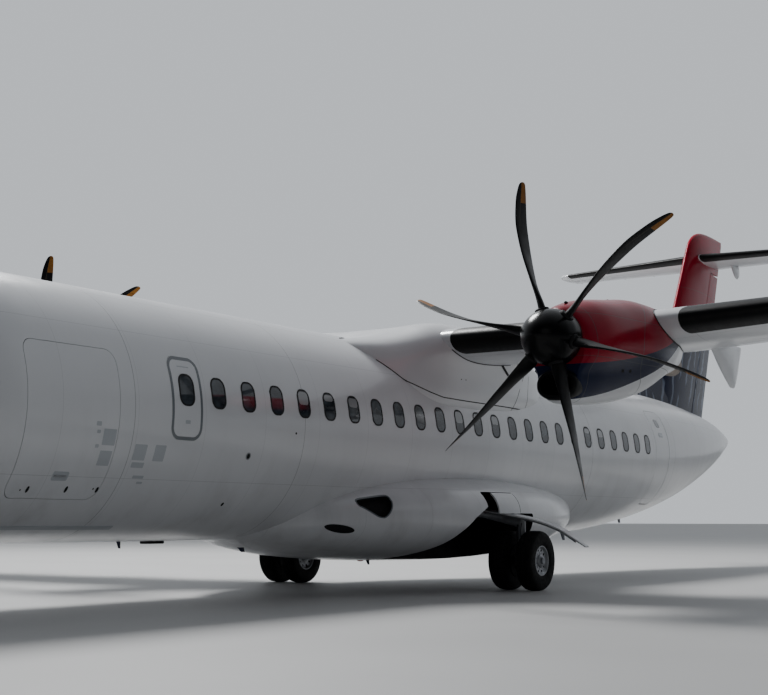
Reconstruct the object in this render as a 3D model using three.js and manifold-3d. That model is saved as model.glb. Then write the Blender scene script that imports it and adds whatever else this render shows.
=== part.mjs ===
// A whole twin-engined, high-wing turboprop airliner with a T-tail, standing on its gear.
// Millimetres. +X is forward, +Y is to port, +Z is up. The origin is on the ground, at
// half of the overall length and on the centre line.
import * as THREE from 'three';
import { mergeVertices } from 'three/addons/utils/BufferGeometryUtils.js';
import Module from 'manifold-3d';

const wasm = await Module();
wasm.setup();

// Driving dimensions
const LENGTH = 27170;
const HALF_LENGTH = LENGTH / 2;
const FUSELAGE_RADIUS = 1432.5;
const FUSELAGE_AXIS_Z = 2167.5;
const FUSELAGE_TOP = FUSELAGE_AXIS_Z + FUSELAGE_RADIUS;
const FUSELAGE_BOTTOM = FUSELAGE_AXIS_Z - FUSELAGE_RADIUS;
const FUSELAGE_SIDES = 32;

const MAIN_AXLE_X = 1115;
const NOSE_AXLE_X = 11885;
const MAIN_TRACK_HALF = 2050;

const WING_LE_X = 2350;
const WING_LE_Z = 3530;
const WING_CHORD = 2570;
const WING_TIP_CHORD = 1590;
const WING_TIP_LE_X = 1900;
const WING_BREAK_Y = 4300;
const WING_TIP_Y = 13525;
const WING_THICKNESS = 0.18;
const WING_TIP_THICKNESS = 0.13;
const WING_INCIDENCE = THREE.MathUtils.degToRad(2.2);
const DIHEDRAL = THREE.MathUtils.degToRad(2.5);
const HINGE_FRACTION = 0.72;

const ENGINE_Y = 4050;
const PROP_X = 4340;
const PROP_Z = 3150;
const PROP_RADIUS = 1965;
const PROP_BLADES = 6;
const PROP_PHASE_LEFT = 0.1916;
const PROP_PHASE_RIGHT = 0.17;
const SHAFT_RADIUS = 90;

const TAIL_PLANE_Z = 7000;
const TAIL_HALF_SPAN = 3655;
const CLEARANCE = 0.3;
const MOVING_GAP = 10;
const SIDE_GAP = 14;

// Materials
function paint(color, roughness, metalness) {
  return new THREE.MeshStandardMaterial({ color, roughness, metalness });
}
const WHITE = paint(0xe4e6ea, 0.3, 0.0);
const CRIMSON = paint(0x9c0f2c, 0.3, 0.0);
const NAVY = paint(0x141c3d, 0.3, 0.0);
const BOOT_BLACK = paint(0x111114, 0.55, 0.0);
const RUBBER = paint(0x17171a, 0.85, 0.0);
const RIM_GREY = paint(0x9b9ea4, 0.4, 0.7);
const STEEL = paint(0x74787e, 0.4, 0.8);
const ENGINE_GREY = paint(0x5c6066, 0.5, 0.6);

const aircraft = new THREE.Group();

// Helpers that turn geometry into closed solids
function closedGeometry(geometry) {
  const bare = geometry.clone();
  bare.deleteAttribute('normal');
  bare.deleteAttribute('uv');
  const merged = mergeVertices(bare, 0.001);
  const index = merged.index.array;
  const position = merged.attributes.position;
  const kept = [];
  let volume = 0;
  const a = new THREE.Vector3();
  const b = new THREE.Vector3();
  const c = new THREE.Vector3();
  for (let i = 0; i < index.length; i += 3) {
    const [p, q, r] = [index[i], index[i + 1], index[i + 2]];
    if (p === q || q === r || r === p) continue;
    kept.push(p, q, r);
    a.fromBufferAttribute(position, p);
    b.fromBufferAttribute(position, q);
    c.fromBufferAttribute(position, r);
    volume += a.dot(b.cross(c));
  }
  if (volume < 0) kept.reverse();
  merged.setIndex(kept);
  return merged;
}

function toSolid(geometry) {
  const closed = closedGeometry(geometry);
  return new wasm.Manifold(new wasm.Mesh({
    numProp: 3,
    vertProperties: new Float32Array(closed.attributes.position.array),
    triVerts: new Uint32Array(closed.index.array),
  }));
}

function toGeometry(solid) {
  const mesh = solid.getMesh();
  const geometry = new THREE.BufferGeometry();
  geometry.setAttribute('position', new THREE.BufferAttribute(new Float32Array(mesh.vertProperties), 3));
  geometry.setIndex(new THREE.BufferAttribute(new Uint32Array(mesh.triVerts), 1));
  return geometry;
}

function largestPiece(solid) {
  const pieces = solid.decompose();
  return pieces.reduce((best, piece) => (piece.volume() > best.volume() ? piece : best));
}

function joined(solids) {
  return solids.reduce((sum, solid) => sum.add(solid));
}

function addMesh(name, geometry, material) {
  const shown = closedGeometry(geometry);
  shown.computeVertexNormals();
  const mesh = new THREE.Mesh(shown, material.clone());
  mesh.name = name;
  aircraft.add(mesh);
  return mesh;
}

function addSolid(name, solid, material) {
  return addMesh(name, toGeometry(largestPiece(solid)), material);
}

// A skin over rings of equally many points, closed by a fan at each end
function loft(rings) {
  const count = rings[0].length;
  const positions = [];
  const index = [];
  for (const ring of rings) {
    for (const point of ring) positions.push(point.x, point.y, point.z);
  }
  for (let s = 0; s + 1 < rings.length; s += 1) {
    for (let i = 0; i < count; i += 1) {
      const j = (i + 1) % count;
      const near = s * count;
      const far = near + count;
      index.push(near + i, near + j, far + j, near + i, far + j, far + i);
    }
  }
  const ends = [[rings[0], 0, true], [rings[rings.length - 1], (rings.length - 1) * count, false]];
  for (const [ring, start, reversed] of ends) {
    const middle = ring.reduce((sum, point) => sum.add(point), new THREE.Vector3());
    middle.divideScalar(count);
    const centre = positions.length / 3;
    positions.push(middle.x, middle.y, middle.z);
    for (let i = 0; i < count; i += 1) {
      const j = (i + 1) % count;
      if (reversed) index.push(centre, start + j, start + i);
      else index.push(centre, start + i, start + j);
    }
  }
  const geometry = new THREE.BufferGeometry();
  geometry.setAttribute('position', new THREE.Float32BufferAttribute(positions, 3));
  geometry.setIndex(index);
  return geometry;
}

function boxSolid(x0, x1, y0, y1, z0, z1) {
  const geometry = new THREE.BoxGeometry(x1 - x0, y1 - y0, z1 - z0);
  geometry.translate((x0 + x1) / 2, (y0 + y1) / 2, (z0 + z1) / 2);
  return toSolid(geometry);
}

// A round bar between two points
function rod(from, to, radius, sides = 12) {
  const direction = new THREE.Vector3().subVectors(to, from);
  const geometry = new THREE.CylinderGeometry(radius, radius, direction.length(), sides);
  const turn = new THREE.Quaternion();
  turn.setFromUnitVectors(new THREE.Vector3(0, 1, 0), direction.clone().normalize());
  geometry.applyQuaternion(turn);
  const middle = new THREE.Vector3().addVectors(from, to).multiplyScalar(0.5);
  geometry.translate(middle.x, middle.y, middle.z);
  return toSolid(geometry);
}

// A body of revolution about the X axis from [radius, x] pairs
function revolveAlongX(pairs, sides) {
  const geometry = new THREE.LatheGeometry(pairs.map(([r, x]) => new THREE.Vector2(r, x)), sides);
  geometry.rotateZ(-Math.PI / 2);
  return geometry;
}

// A wheel part about the Y axis from [radius, y] pairs. It rests on a facet, not on an edge, and
// the radii are those of its facets.
function revolveWheel(pairs, sides) {
  const halfFacet = Math.PI / sides;
  const points = pairs.map(([r, y]) => new THREE.Vector2(r / Math.cos(halfFacet), y));
  return new THREE.LatheGeometry(points, sides, halfFacet);
}

// Cross-section of a rounded body: a superellipse about the centre line
function roundRing(x, halfWidth, top, bottom, sides, power, y = 0) {
  const points = [];
  const middle = (top + bottom) / 2;
  const halfHeight = (top - bottom) / 2;
  for (let i = 0; i < sides; i += 1) {
    const angle = (i / sides) * 2 * Math.PI;
    const across = Math.sign(Math.sin(angle)) * Math.abs(Math.sin(angle)) ** (2 / power);
    const up = Math.sign(Math.cos(angle)) * Math.abs(Math.cos(angle)) ** (2 / power);
    points.push(new THREE.Vector3(x, y + halfWidth * across, middle + halfHeight * up));
  }
  return points;
}

// Fuselage stations: x, top, bottom, half width
const FUSELAGE_STATIONS = [
  [13585, 1900, 1800, 50],
  [13480, 2060, 1630, 215],
  [13200, 2265, 1415, 440],
  [12700, 2520, 1185, 730],
  [12200, 2760, 1030, 945],
  [11700, 3090, 920, 1115],
  [11200, 3370, 840, 1245],
  [10700, 3530, 780, 1345],
  [10250, FUSELAGE_TOP, FUSELAGE_BOTTOM, FUSELAGE_RADIUS],
  [-2600, FUSELAGE_TOP, FUSELAGE_BOTTOM, FUSELAGE_RADIUS],
  [-4500, FUSELAGE_TOP, 800, 1408],
  [-6500, 3595, 995, 1315],
  [-8500, 3550, 1320, 1125],
  [-10200, 3450, 1720, 880],
  [-11600, 3310, 2130, 620],
  [-12700, 3125, 2500, 350],
  [-13300, 2990, 2720, 180],
  [-13585, 2910, 2830, 50],
];

function fuselageAt(x) {
  const stations = FUSELAGE_STATIONS;
  let k = 0;
  while (k + 2 < stations.length && x < stations[k + 1][0]) k += 1;
  const [near, far] = [stations[k], stations[k + 1]];
  const t = (x - near[0]) / (far[0] - near[0]);
  return near.map((value, i) => value + (far[i] - value) * t);
}

// The stretch of fuselage from x0 back to x1, grown outwards (or inwards if negative)
function fuselageStretch(x0, x1, grow = 0) {
  const between = FUSELAGE_STATIONS.filter(([x]) => x < x0 - 1 && x > x1 + 1);
  const stations = [fuselageAt(x0), ...between, fuselageAt(x1)];
  stations[0][0] = x0;
  stations[stations.length - 1][0] = x1;
  const rings = stations.map(([x, top, bottom, half]) => (
    roundRing(x, half + grow, top + grow, bottom - grow, FUSELAGE_SIDES, 2)));
  return toSolid(loft(rings));
}

const RADOME_X = 12900;
const NOSE_END_X = 10500;
const FORWARD_END_X = 5600;
const CENTRE_END_X = -2800;
const AFT_END_X = -8900;

// Wing and tail sections. A station is {le, chord, thickness}, le being the leading edge.
const FOIL_FRACTIONS = [1, 0.86, 0.72, 0.5, 0.3, 0.14, 0.05, 0.012, 0];

function halfThickness(fraction, thickness) {
  const x = fraction;
  const root = 0.2969 * Math.sqrt(x) - 0.126 * x - 0.3516 * x * x;
  return 5 * thickness * (root + 0.2843 * x ** 3 - 0.1015 * x ** 4);
}

// Point on a section: fraction along the chord and height off the chord line. A fin's section
// lies flat, so its height is across the aircraft.
function foilPoint(station, fraction, height, incidence, upright) {
  const along = fraction * station.chord;
  const x = station.le.x - along * Math.cos(incidence);
  if (upright) return new THREE.Vector3(x, station.le.y + height * station.chord, station.le.z);
  const z = station.le.z - along * Math.sin(incidence) + height * station.chord;
  return new THREE.Vector3(x, station.le.y, z);
}

function foilRing(station, incidence, upright, grow = 0) {
  const more = grow / station.chord;
  const upper = FOIL_FRACTIONS.map((f) => [f, halfThickness(f, station.thickness) + more]);
  const lower = [...FOIL_FRACTIONS].reverse().slice(1).map((f) => (
    [f, -halfThickness(f, station.thickness) - more]));
  return [...upper, ...lower].map(([f, h]) => {
    let along = f;
    if (f === 0) along = -more;
    if (f === 1) along = 1 + more;
    return foilPoint(station, along, f === 0 ? 0 : h, incidence, upright);
  });
}

// The axis and nose radius of a hinged surface at a station
function hingeAt(station, incidence, upright, hingeFraction) {
  const radius = halfThickness(hingeFraction, station.thickness) * station.chord;
  const centre = foilPoint(station, hingeFraction, 0, incidence, upright);
  return { centre, radius };
}

const NOSE_STEPS = 8;

// Ring of a hinged surface: a half-round nose about its hinge and two flat sides to the edge
function movableRing(station, incidence, upright, hingeFraction) {
  const { centre, radius } = hingeAt(station, incidence, upright, hingeFraction);
  const edge = halfThickness(1, station.thickness);
  const side = upright ? new THREE.Vector3(0, 1, 0) : new THREE.Vector3(0, 0, 1);
  const points = [foilPoint(station, 1, edge, incidence, upright)];
  for (let i = 0; i <= NOSE_STEPS; i += 1) {
    const angle = (i / NOSE_STEPS) * Math.PI;
    const point = centre.clone().addScaledVector(side, radius * Math.cos(angle));
    point.x += radius * Math.sin(angle);
    points.push(point);
  }
  points.push(foilPoint(station, 1, -edge, incidence, upright));
  return points;
}

// Everything behind the hinge line between two stations, with the running gap in front
function hingeCutter(stations, incidence, upright, hingeFraction, gap = MOVING_GAP) {
  const rings = stations.map((station) => {
    const { centre, radius } = hingeAt(station, incidence, upright, hingeFraction);
    const front = centre.x + radius + gap;
    const back = station.le.x - station.chord - 400;
    const reach = 700;
    const corners = [[front, -reach], [front, reach], [back, reach], [back, -reach]];
    return corners.map(([x, off]) => (upright
      ? new THREE.Vector3(x, off, centre.z)
      : new THREE.Vector3(x, centre.y, centre.z + off)));
  });
  return toSolid(loft(rings));
}

// Round pin at one end of a hinged surface (0 or 1), or the socket that it turns in
const PIN = { radius: 20, depth: 22, root: 60, sides: 16 };

function hingePin(stations, incidence, upright, hingeFraction, end, gap, isSocket) {
  const [near, far] = stations.map((s) => hingeAt(s, incidence, upright, hingeFraction).centre);
  const [from, to] = end === 0 ? [far, near] : [near, far];
  const way = new THREE.Vector3().subVectors(to, from).normalize();
  const start = to.clone().addScaledVector(way, -PIN.root);
  const extra = isSocket ? CLEARANCE : 0;
  const tip = to.clone().addScaledVector(way, gap + PIN.depth + extra);
  const grown = isSocket ? (PIN.radius + CLEARANCE) / Math.cos(Math.PI / PIN.sides) : PIN.radius;
  return rod(start, tip, grown, PIN.sides);
}

function mixStation(a, b, t) {
  return {
    le: a.le.clone().lerp(b.le, t),
    chord: a.chord + (b.chord - a.chord) * t,
    thickness: a.thickness + (b.thickness - a.thickness) * t,
  };
}

function wingStation(y) {
  const t = Math.max(0, (y - WING_BREAK_Y) / (WING_TIP_Y - WING_BREAK_Y));
  return {
    le: new THREE.Vector3(
      WING_LE_X + (WING_TIP_LE_X - WING_LE_X) * t,
      y,
      WING_LE_Z + Math.max(0, y - WING_BREAK_Y) * Math.tan(DIHEDRAL),
    ),
    chord: WING_CHORD + (WING_TIP_CHORD - WING_CHORD) * t,
    thickness: WING_THICKNESS + (WING_TIP_THICKNESS - WING_THICKNESS) * t,
  };
}

function mirrored(station) {
  return { ...station, le: station.le.clone().setY(-station.le.y) };
}

function foilSolid(stations, incidence, upright, grow = 0) {
  return toSolid(loft(stations.map((station) => foilRing(station, incidence, upright, grow))));
}

// Wing surfaces that move: name, inner y, outer y
const WING_SURFACES = [
  ['flap_inner', 1640, 3700],
  ['flap_outer', 4360, 9620],
  ['aileron', 9720, 13300],
];

// Fairings over the flap hinges: how far out, one list for each flap
const FLAP_FAIRINGS = { flap_inner: [1950, 3500], flap_outer: [4460, 6900, 9300], aileron: [] };
// Their stations from the hinge line, for the root chord: x, bottom, top, half width
const FAIRING_STATIONS = [
  [-140, -150, -60, 30],
  [-500, -410, 5, 75],
  [-820, -590, 20, 78],
  [-930, -585, 22, 66],
  [-1130, -330, 28, 42],
  [-1300, -30, 32, 12],
];

function flapFairing(station) {
  const { centre } = hingeAt(station, WING_INCIDENCE, false, HINGE_FRACTION);
  const scale = station.chord / WING_CHORD;
  return toSolid(loft(FAIRING_STATIONS.map(([dx, bottom, top, half]) => {
    const at = (across, up) => new THREE.Vector3(dx, across, up).multiplyScalar(scale).add(centre);
    const waist = top * 0.6 + bottom * 0.4;
    return [
      at(half * 0.5, top), at(half, waist), at(half * 0.3, bottom),
      at(-half * 0.3, bottom), at(-half, waist), at(-half * 0.5, top),
    ];
  })));
}

function buildWing() {
  const centreSpan = [-WING_BREAK_Y, WING_BREAK_Y].map((y) => {
    const station = wingStation(Math.abs(y));
    return y < 0 ? mirrored(station) : station;
  });
  let centre = foilSolid(centreSpan, WING_INCIDENCE, false);
  for (const side of [1, -1]) {
    const word = side > 0 ? 'left' : 'right';
    const place = (y) => (side > 0 ? wingStation(y) : mirrored(wingStation(y)));
    let outer = foilSolid(
      [place(WING_BREAK_Y + CLEARANCE), place(WING_TIP_Y)],
      WING_INCIDENCE,
      false,
    );
    for (const [name, inner, outerY] of WING_SURFACES) {
      const ends = [place(inner), place(outerY)];
      const cut = hingeCutter([place(inner - SIDE_GAP), place(outerY + SIDE_GAP)],
        WING_INCIDENCE, false, HINGE_FRACTION);
      const pin = (end, isSocket) => (
        hingePin(ends, WING_INCIDENCE, false, HINGE_FRACTION, end, SIDE_GAP, isSocket));
      const hollow = joined([cut, pin(0, true), pin(1, true)]);
      if (outerY < WING_BREAK_Y) centre = centre.subtract(hollow);
      else outer = outer.subtract(hollow);
      const rings = ends.map((station) => movableRing(station, WING_INCIDENCE, false, HINGE_FRACTION));
      const fairings = FLAP_FAIRINGS[name].map((y) => flapFairing(place(y)));
      const surface = joined([toSolid(loft(rings)), pin(0, false), pin(1, false), ...fairings]);
      addSolid(`${name}_${word}`, surface, WHITE);
    }
    addSolid(`wing_outer_${word}`, outer, WHITE);
  }
  return centre;
}

// Nacelle stations: x, half width, top, bottom
const NACELLE_STATIONS = [
  [4060, 430, 3560, 2385],
  [3600, 520, 3670, 2395],
  [3000, 550, 3725, 2450],
  [2300, 550, 3745, 2580],
  [1650, 535, 3740, 2800],
  [1100, 500, 3700, 2950],
  [800, 460, 3680, 3010],
];
const NACELLE_SIDES = 24;
const NACELLE_POWER = 2.3;
// Engine block stations: x, half width, top, bottom
const ENGINE_STATIONS = [
  [3980, 220, 3360, 2800],
  [3600, 285, 3395, 2790],
  [3000, 320, 3430, 2790],
  [2420, 320, 3330, 2840],
  [1900, 290, 3260, 2935],
];
// Room left around the engine block: across, up, forward
const ENGINE_ROOM = { across: 60, up: 40, forward: 20 };
// The mouth that the propeller shaft comes out of
const MOUTH = { radius: 300, depth: 300 };
// Chin intake, its lip and its bore: x, half width, top, bottom
const LIP_STATIONS = [
  [4180, 290, 2762, 2440],
  [4150, 312, 2772, 2425],
  [4060, 325, 2785, 2410],
  [3700, 330, 2790, 2405],
];
const INTAKE_STATIONS = [
  [4230, 262, 2735, 2465],
  [4100, 230, 2722, 2475],
  [3800, 150, 2700, 2500],
];
const INTAKE_SIDES = 20;
const INTAKE_POWER = 2.4;
// Exhaust pipe: back end, bore radius, outer radius
const EXHAUST = { back: 420, bore: 125, radius: 140 };

function blockRing(x, y, half, top, bottom) {
  return [
    new THREE.Vector3(x, y - half, bottom),
    new THREE.Vector3(x, y - half, top),
    new THREE.Vector3(x, y + half, top),
    new THREE.Vector3(x, y + half, bottom),
  ];
}

function buildPowerplant(side, wingBody) {
  const word = side > 0 ? 'left' : 'right';
  const y = side * ENGINE_Y;
  const [front] = NACELLE_STATIONS[0];
  const [back] = NACELLE_STATIONS[NACELLE_STATIONS.length - 1];
  const body = (stations, sides, power) => toSolid(loft(stations.map(([x, half, top, bottom]) => (
    roundRing(x, half, top, bottom, sides, power, y)))));
  const shell = body(NACELLE_STATIONS, NACELLE_SIDES, NACELLE_POWER)
    .add(body(LIP_STATIONS, INTAKE_SIDES, INTAKE_POWER));
  const mouth = rod(
    new THREE.Vector3(front - MOUTH.depth, y, PROP_Z),
    new THREE.Vector3(front + 50, y, PROP_Z),
    MOUTH.radius,
    NACELLE_SIDES,
  );
  const bay = toSolid(loft(ENGINE_STATIONS.map(([x, half, top, bottom], i) => {
    let at = x;
    if (i === 0) at += ENGINE_ROOM.forward;
    if (i === ENGINE_STATIONS.length - 1) at -= CLEARANCE;
    return blockRing(at, y, half + ENGINE_ROOM.across, top + ENGINE_ROOM.up, bottom - ENGINE_ROOM.up);
  })));
  const intake = body(INTAKE_STATIONS, INTAKE_SIDES, INTAKE_POWER);
  const hollow = joined([wingBody, bay, mouth, intake]);
  addSolid(`nacelle_${word}`, shell.subtract(hollow), CRIMSON);

  const block = ENGINE_STATIONS.map(([x, half, top, bottom]) => blockRing(x, y, half, top, bottom));
  addMesh(`engine_${word}`, loft(block), ENGINE_GREY);

  const pipe = revolveAlongX([
    [EXHAUST.bore, EXHAUST.back],
    [EXHAUST.radius, EXHAUST.back],
    [EXHAUST.radius, back - CLEARANCE],
    [EXHAUST.bore, back - CLEARANCE],
    [EXHAUST.bore, EXHAUST.back],
  ], 16);
  pipe.translate(0, y, PROP_Z);
  addMesh(`exhaust_${word}`, pipe, STEEL);
}

// Blade stations: radius, chord, thickness, offset of the middle forward, turn in degrees
const BLADE_STATIONS = [
  [250, 150, 110, 0, 0],
  [430, 190, 75, 0, 14],
  [700, 290, 46, 25, 14],
  [1000, 345, 32, 62, 8],
  [1350, 340, 24, 82, 3],
  [1700, 270, 15, 35, -3],
  [1900, 165, 9, -32, -6],
  [PROP_RADIUS, 50, 6, -75, -8],
];
const BLADE_RING = 6;
// Spinner profile: radius, distance ahead of the blades' plane
const SPINNER_PROFILE = [
  [0, -210],
  [360, -210],
  [370, -120],
  [370, -40],
  [345, 90],
  [290, 210],
  [200, 320],
  [90, 395],
  [0, 420],
];

function bladeSolid(angle) {
  const rings = BLADE_STATIONS.map(([radius, chord, thick, forward, turn]) => {
    const points = [];
    const lean = THREE.MathUtils.degToRad(turn);
    for (let i = 0; i < BLADE_RING; i += 1) {
      const a = (i / BLADE_RING) * 2 * Math.PI;
      const along = (chord / 2) * Math.cos(a);
      const across = (thick / 2) * Math.sin(a);
      points.push(new THREE.Vector3(
        forward + along * Math.cos(lean) - across * Math.sin(lean),
        along * Math.sin(lean) + across * Math.cos(lean),
        radius,
      ));
    }
    return points;
  });
  const geometry = loft(rings);
  geometry.rotateX(angle);
  return toSolid(geometry);
}

function buildPropeller(side) {
  const word = side > 0 ? 'left' : 'right';
  const phase = side > 0 ? PROP_PHASE_LEFT : PROP_PHASE_RIGHT;
  const spinner = toSolid(revolveAlongX(SPINNER_PROFILE, 20));
  const blades = [];
  for (let k = 0; k < PROP_BLADES; k += 1) {
    blades.push(bladeSolid(phase + (k * 2 * Math.PI) / PROP_BLADES));
  }
  const shaft = rod(
    new THREE.Vector3(ENGINE_STATIONS[0][0] + CLEARANCE - PROP_X, 0, 0),
    new THREE.Vector3(0, 0, 0),
    SHAFT_RADIUS,
    12,
  );
  const mesh = addSolid(`propeller_${word}`, joined([spinner, shaft, ...blades]), BOOT_BLACK);
  mesh.position.set(PROP_X, side * ENGINE_Y, PROP_Z);
}

// Belly fairing stations: x, half width, top, bottom
const BELLY_STATIONS = [
  [5450, 500, 1120, 725],
  [4700, 1130, 1430, 600],
  [3700, 1580, 1600, 480],
  [2500, 1840, 1690, 420],
  [1100, 1920, 1720, 405],
  [-300, 1840, 1680, 450],
  [-1500, 1560, 1600, 590],
  [-2400, 1150, 1480, 740],
  [-3050, 640, 1300, 850],
];
const BAY = { x0: 430, x1: 1800, y0: 700, y1: 2300, foot: 100, top: 1300 };
const NOSE_BAY = { x0: 11150, x1: 12650, half: 300, foot: 500, top: 1500 };
const JACK_PAD_RADIUS = 60;
const JACK_PAD_DROP = 20;

function wheelBay(side) {
  const [y0, y1] = side > 0 ? [BAY.y0, BAY.y1] : [-BAY.y1, -BAY.y0];
  return boxSolid(BAY.x0, BAY.x1, y0, y1, BAY.foot, BAY.top);
}

function jackPad(x, y, skinZ) {
  return rod(
    new THREE.Vector3(x, y, skinZ - JACK_PAD_DROP),
    new THREE.Vector3(x, y, skinZ + 80),
    JACK_PAD_RADIUS,
    12,
  );
}

function buildBelly() {
  const rings = BELLY_STATIONS.map(([x, half, top, bottom]) => (
    roundRing(x, half, top, bottom, 28, 2.5)));
  let belly = toSolid(loft(rings));
  belly = belly.subtract(fuselageStretch(6500, -4500, CLEARANCE));
  for (const side of [1, -1]) {
    belly = belly.add(jackPad(2600, side * 500, 430));
  }
  for (const side of [1, -1]) belly = belly.subtract(wheelBay(side));
  addSolid('belly_fairing', belly, WHITE);
}

// Stations of the hump that carries the wing: x, half width, top, bottom
const HUMP_STATIONS = [
  [3760, 600, 3560, 2900],
  [3400, 980, 3680, 2560],
  [2900, 1240, 3790, 2260],
  [2300, 1400, 3865, 2090],
  [1300, 1455, 3885, 2040],
  [300, 1440, 3850, 2080],
  [-700, 1350, 3760, 2260],
  [-1500, 1160, 3680, 2500],
  [-2200, 800, 3620, 2800],
];

function buildHump(wingBody) {
  const rings = HUMP_STATIONS.map(([x, half, top, bottom]) => (
    roundRing(x, half, top, bottom, 28, 2.8)));
  const hump = toSolid(loft(rings));
  addSolid('wing_fuselage_fairing',
    hump.subtract(fuselageStretch(6500, -4500, CLEARANCE)).subtract(wingBody), WHITE);
}

// The rear cabin that the passenger door opens into
const CABIN = { front: -2700, back: -6750, floor: 1330, ceiling: 3300, wall: 110 };

// Doors: name, side, front x, rear x, sill z, head z, back of the hold behind it (its distance
// from the centre line, or 0 for none), more room at the rear edge, whether it moves
const DOORS = [
  ['cargo_door', 1, 10150, 8875, 1200, 2730, 350, 0, true],
  ['passenger_door', 1, -5850, -6600, 1320, 3070, 0, 20, true],
  ['service_door', -1, -5950, -6560, 1420, 2640, 0, 0, false],
  ['emergency_exit_left', 1, 8055, 7545, 1855, 2765, 0, 0, false],
  ['emergency_exit_right', -1, 8055, 7545, 1855, 2765, 0, 0, false],
];
// Hinge bars of the two doors that open: each end as x, y, z
const DOOR_HINGES = {
  cargo_door: [[10000, 1320, 2735], [9025, 1320, 2735]],
  passenger_door: [[-5990, 933, 1316], [-6460, 871, 1316]],
};
const HINGE_BAR = { radius: 11, sides: 12 };
const DOOR_THICKNESS = 90;
const DOOR_CORNER = 130;
const DOOR_RIM = 300;
const HOLD_FRONT = 900;
const HOLD_DROP = 60;

function doorway(side, x0, x1, sill, head, grow) {
  const [, top, bottom, half] = fuselageAt((x0 + x1) / 2);
  const middle = (top + bottom) / 2;
  const angles = [sill, head].map((z) => Math.asin((z - middle) / ((top - bottom) / 2)));
  angles[0] -= grow / half;
  angles[1] += grow / half;
  const reach = 2600;
  const start = 350;
  const wedge = [x0 + grow, x1 - grow].map((x) => [
    [start, angles[0]], [reach, angles[0]], [reach, angles[1]], [start, angles[1]],
  ].map(([r, a]) => new THREE.Vector3(x, side * r * Math.cos(a), middle + r * Math.sin(a))));
  const [low, high] = angles.map((a) => middle + ((top - bottom) / 2) * Math.sin(a));
  const radius = DOOR_CORNER + grow;
  const shape = new THREE.Shape();
  const [left, right] = [x1 - grow, x0 + grow];
  shape.moveTo(left + radius, low);
  shape.lineTo(right - radius, low);
  shape.absarc(right - radius, low + radius, radius, -Math.PI / 2, 0);
  shape.lineTo(right, high - radius);
  shape.absarc(right - radius, high - radius, radius, 0, Math.PI / 2);
  shape.lineTo(left + radius, high);
  shape.absarc(left + radius, high - radius, radius, Math.PI / 2, Math.PI);
  shape.lineTo(left, low + radius);
  shape.absarc(left + radius, low + radius, radius, Math.PI, Math.PI * 1.5);
  const prism = new THREE.ExtrudeGeometry(shape, { depth: 2600, bevelEnabled: false, curveSegments: 3 });
  prism.rotateX(Math.PI / 2);
  prism.translate(0, side > 0 ? 2600 : 0, 0);
  return toSolid(loft(wedge)).intersect(toSolid(prism));
}

function buildDoors(sections) {
  for (const [name, side, x0, x1, sill, head, holdBack, rearRoom, moves] of DOORS) {
    const section = sections.find((s) => x0 <= s.front && x1 >= s.back);
    const gap = moves ? MOVING_GAP : CLEARANCE * 2;
    const depth = moves ? DOOR_RIM : DOOR_THICKNESS + CLEARANCE;
    const ends = [x0 + 300, x1 - 300];
    const skin = fuselageStretch(...ends);
    const panel = doorway(side, x0, x1, sill, head, 0)
      .intersect(skin)
      .subtract(fuselageStretch(...ends, -DOOR_THICKNESS));
    let hole = doorway(side, x0, x1 - rearRoom, sill, head, gap)
      .subtract(fuselageStretch(...ends, -depth));
    if (holdBack > 0) {
      const [y0, y1] = side > 0 ? [holdBack, HOLD_FRONT] : [-HOLD_FRONT, -holdBack];
      hole = hole.add(boxSolid(x1 - gap, x0 + gap, y0, y1, sill - gap, head - HOLD_DROP));
    }
    if (moves) {
      const [from, to] = DOOR_HINGES[name].map((end) => new THREE.Vector3(...end));
      const roomy = (HINGE_BAR.radius + CLEARANCE) / Math.cos(Math.PI / HINGE_BAR.sides);
      const reach = new THREE.Vector3().subVectors(to, from).setLength(CLEARANCE);
      hole = hole.add(rod(from.clone().sub(reach), to.clone().add(reach), roomy, HINGE_BAR.sides));
      addSolid(name, panel.add(rod(from, to, HINGE_BAR.radius, HINGE_BAR.sides)), WHITE);
    } else {
      addSolid(name, panel, WHITE);
    }
    section.solid = section.solid.subtract(hole);
  }
}

function buildFuselage(wingBody) {
  const sections = [
    { name: 'radome', front: HALF_LENGTH, back: RADOME_X },
    { name: 'fuselage_nose', front: RADOME_X, back: NOSE_END_X },
    { name: 'fuselage_forward', front: NOSE_END_X, back: FORWARD_END_X },
    { name: 'fuselage_centre', front: FORWARD_END_X, back: CENTRE_END_X },
    { name: 'fuselage_aft', front: CENTRE_END_X, back: AFT_END_X },
    { name: 'tail_cone', front: AFT_END_X, back: -HALF_LENGTH },
  ];
  for (const section of sections) {
    section.solid = fuselageStretch(section.front, section.back);
  }
  const [, nose, forward, centre, aft, tail] = sections;
  nose.solid = nose.solid.subtract(boxSolid(NOSE_BAY.x0, NOSE_BAY.x1, -NOSE_BAY.half, NOSE_BAY.half,
    NOSE_BAY.foot, NOSE_BAY.top));
  forward.solid = forward.solid.add(jackPad(9600, 0, FUSELAGE_BOTTOM));
  centre.solid = centre.solid.subtract(wingBody);
  for (const side of [1, -1]) centre.solid = centre.solid.subtract(wheelBay(side));
  aft.solid = aft.solid.subtract(fuselageStretch(CABIN.front, CABIN.back, -CABIN.wall)
    .intersect(boxSolid(CABIN.back - 10, CABIN.front + 10, -2000, 2000, CABIN.floor, CABIN.ceiling)));
  buildDoors(sections);
  for (const root of [aft, tail]) root.solid = root.solid.subtract(finRoot());
  for (const section of sections) addSolid(section.name, section.solid, WHITE);
}

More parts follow.
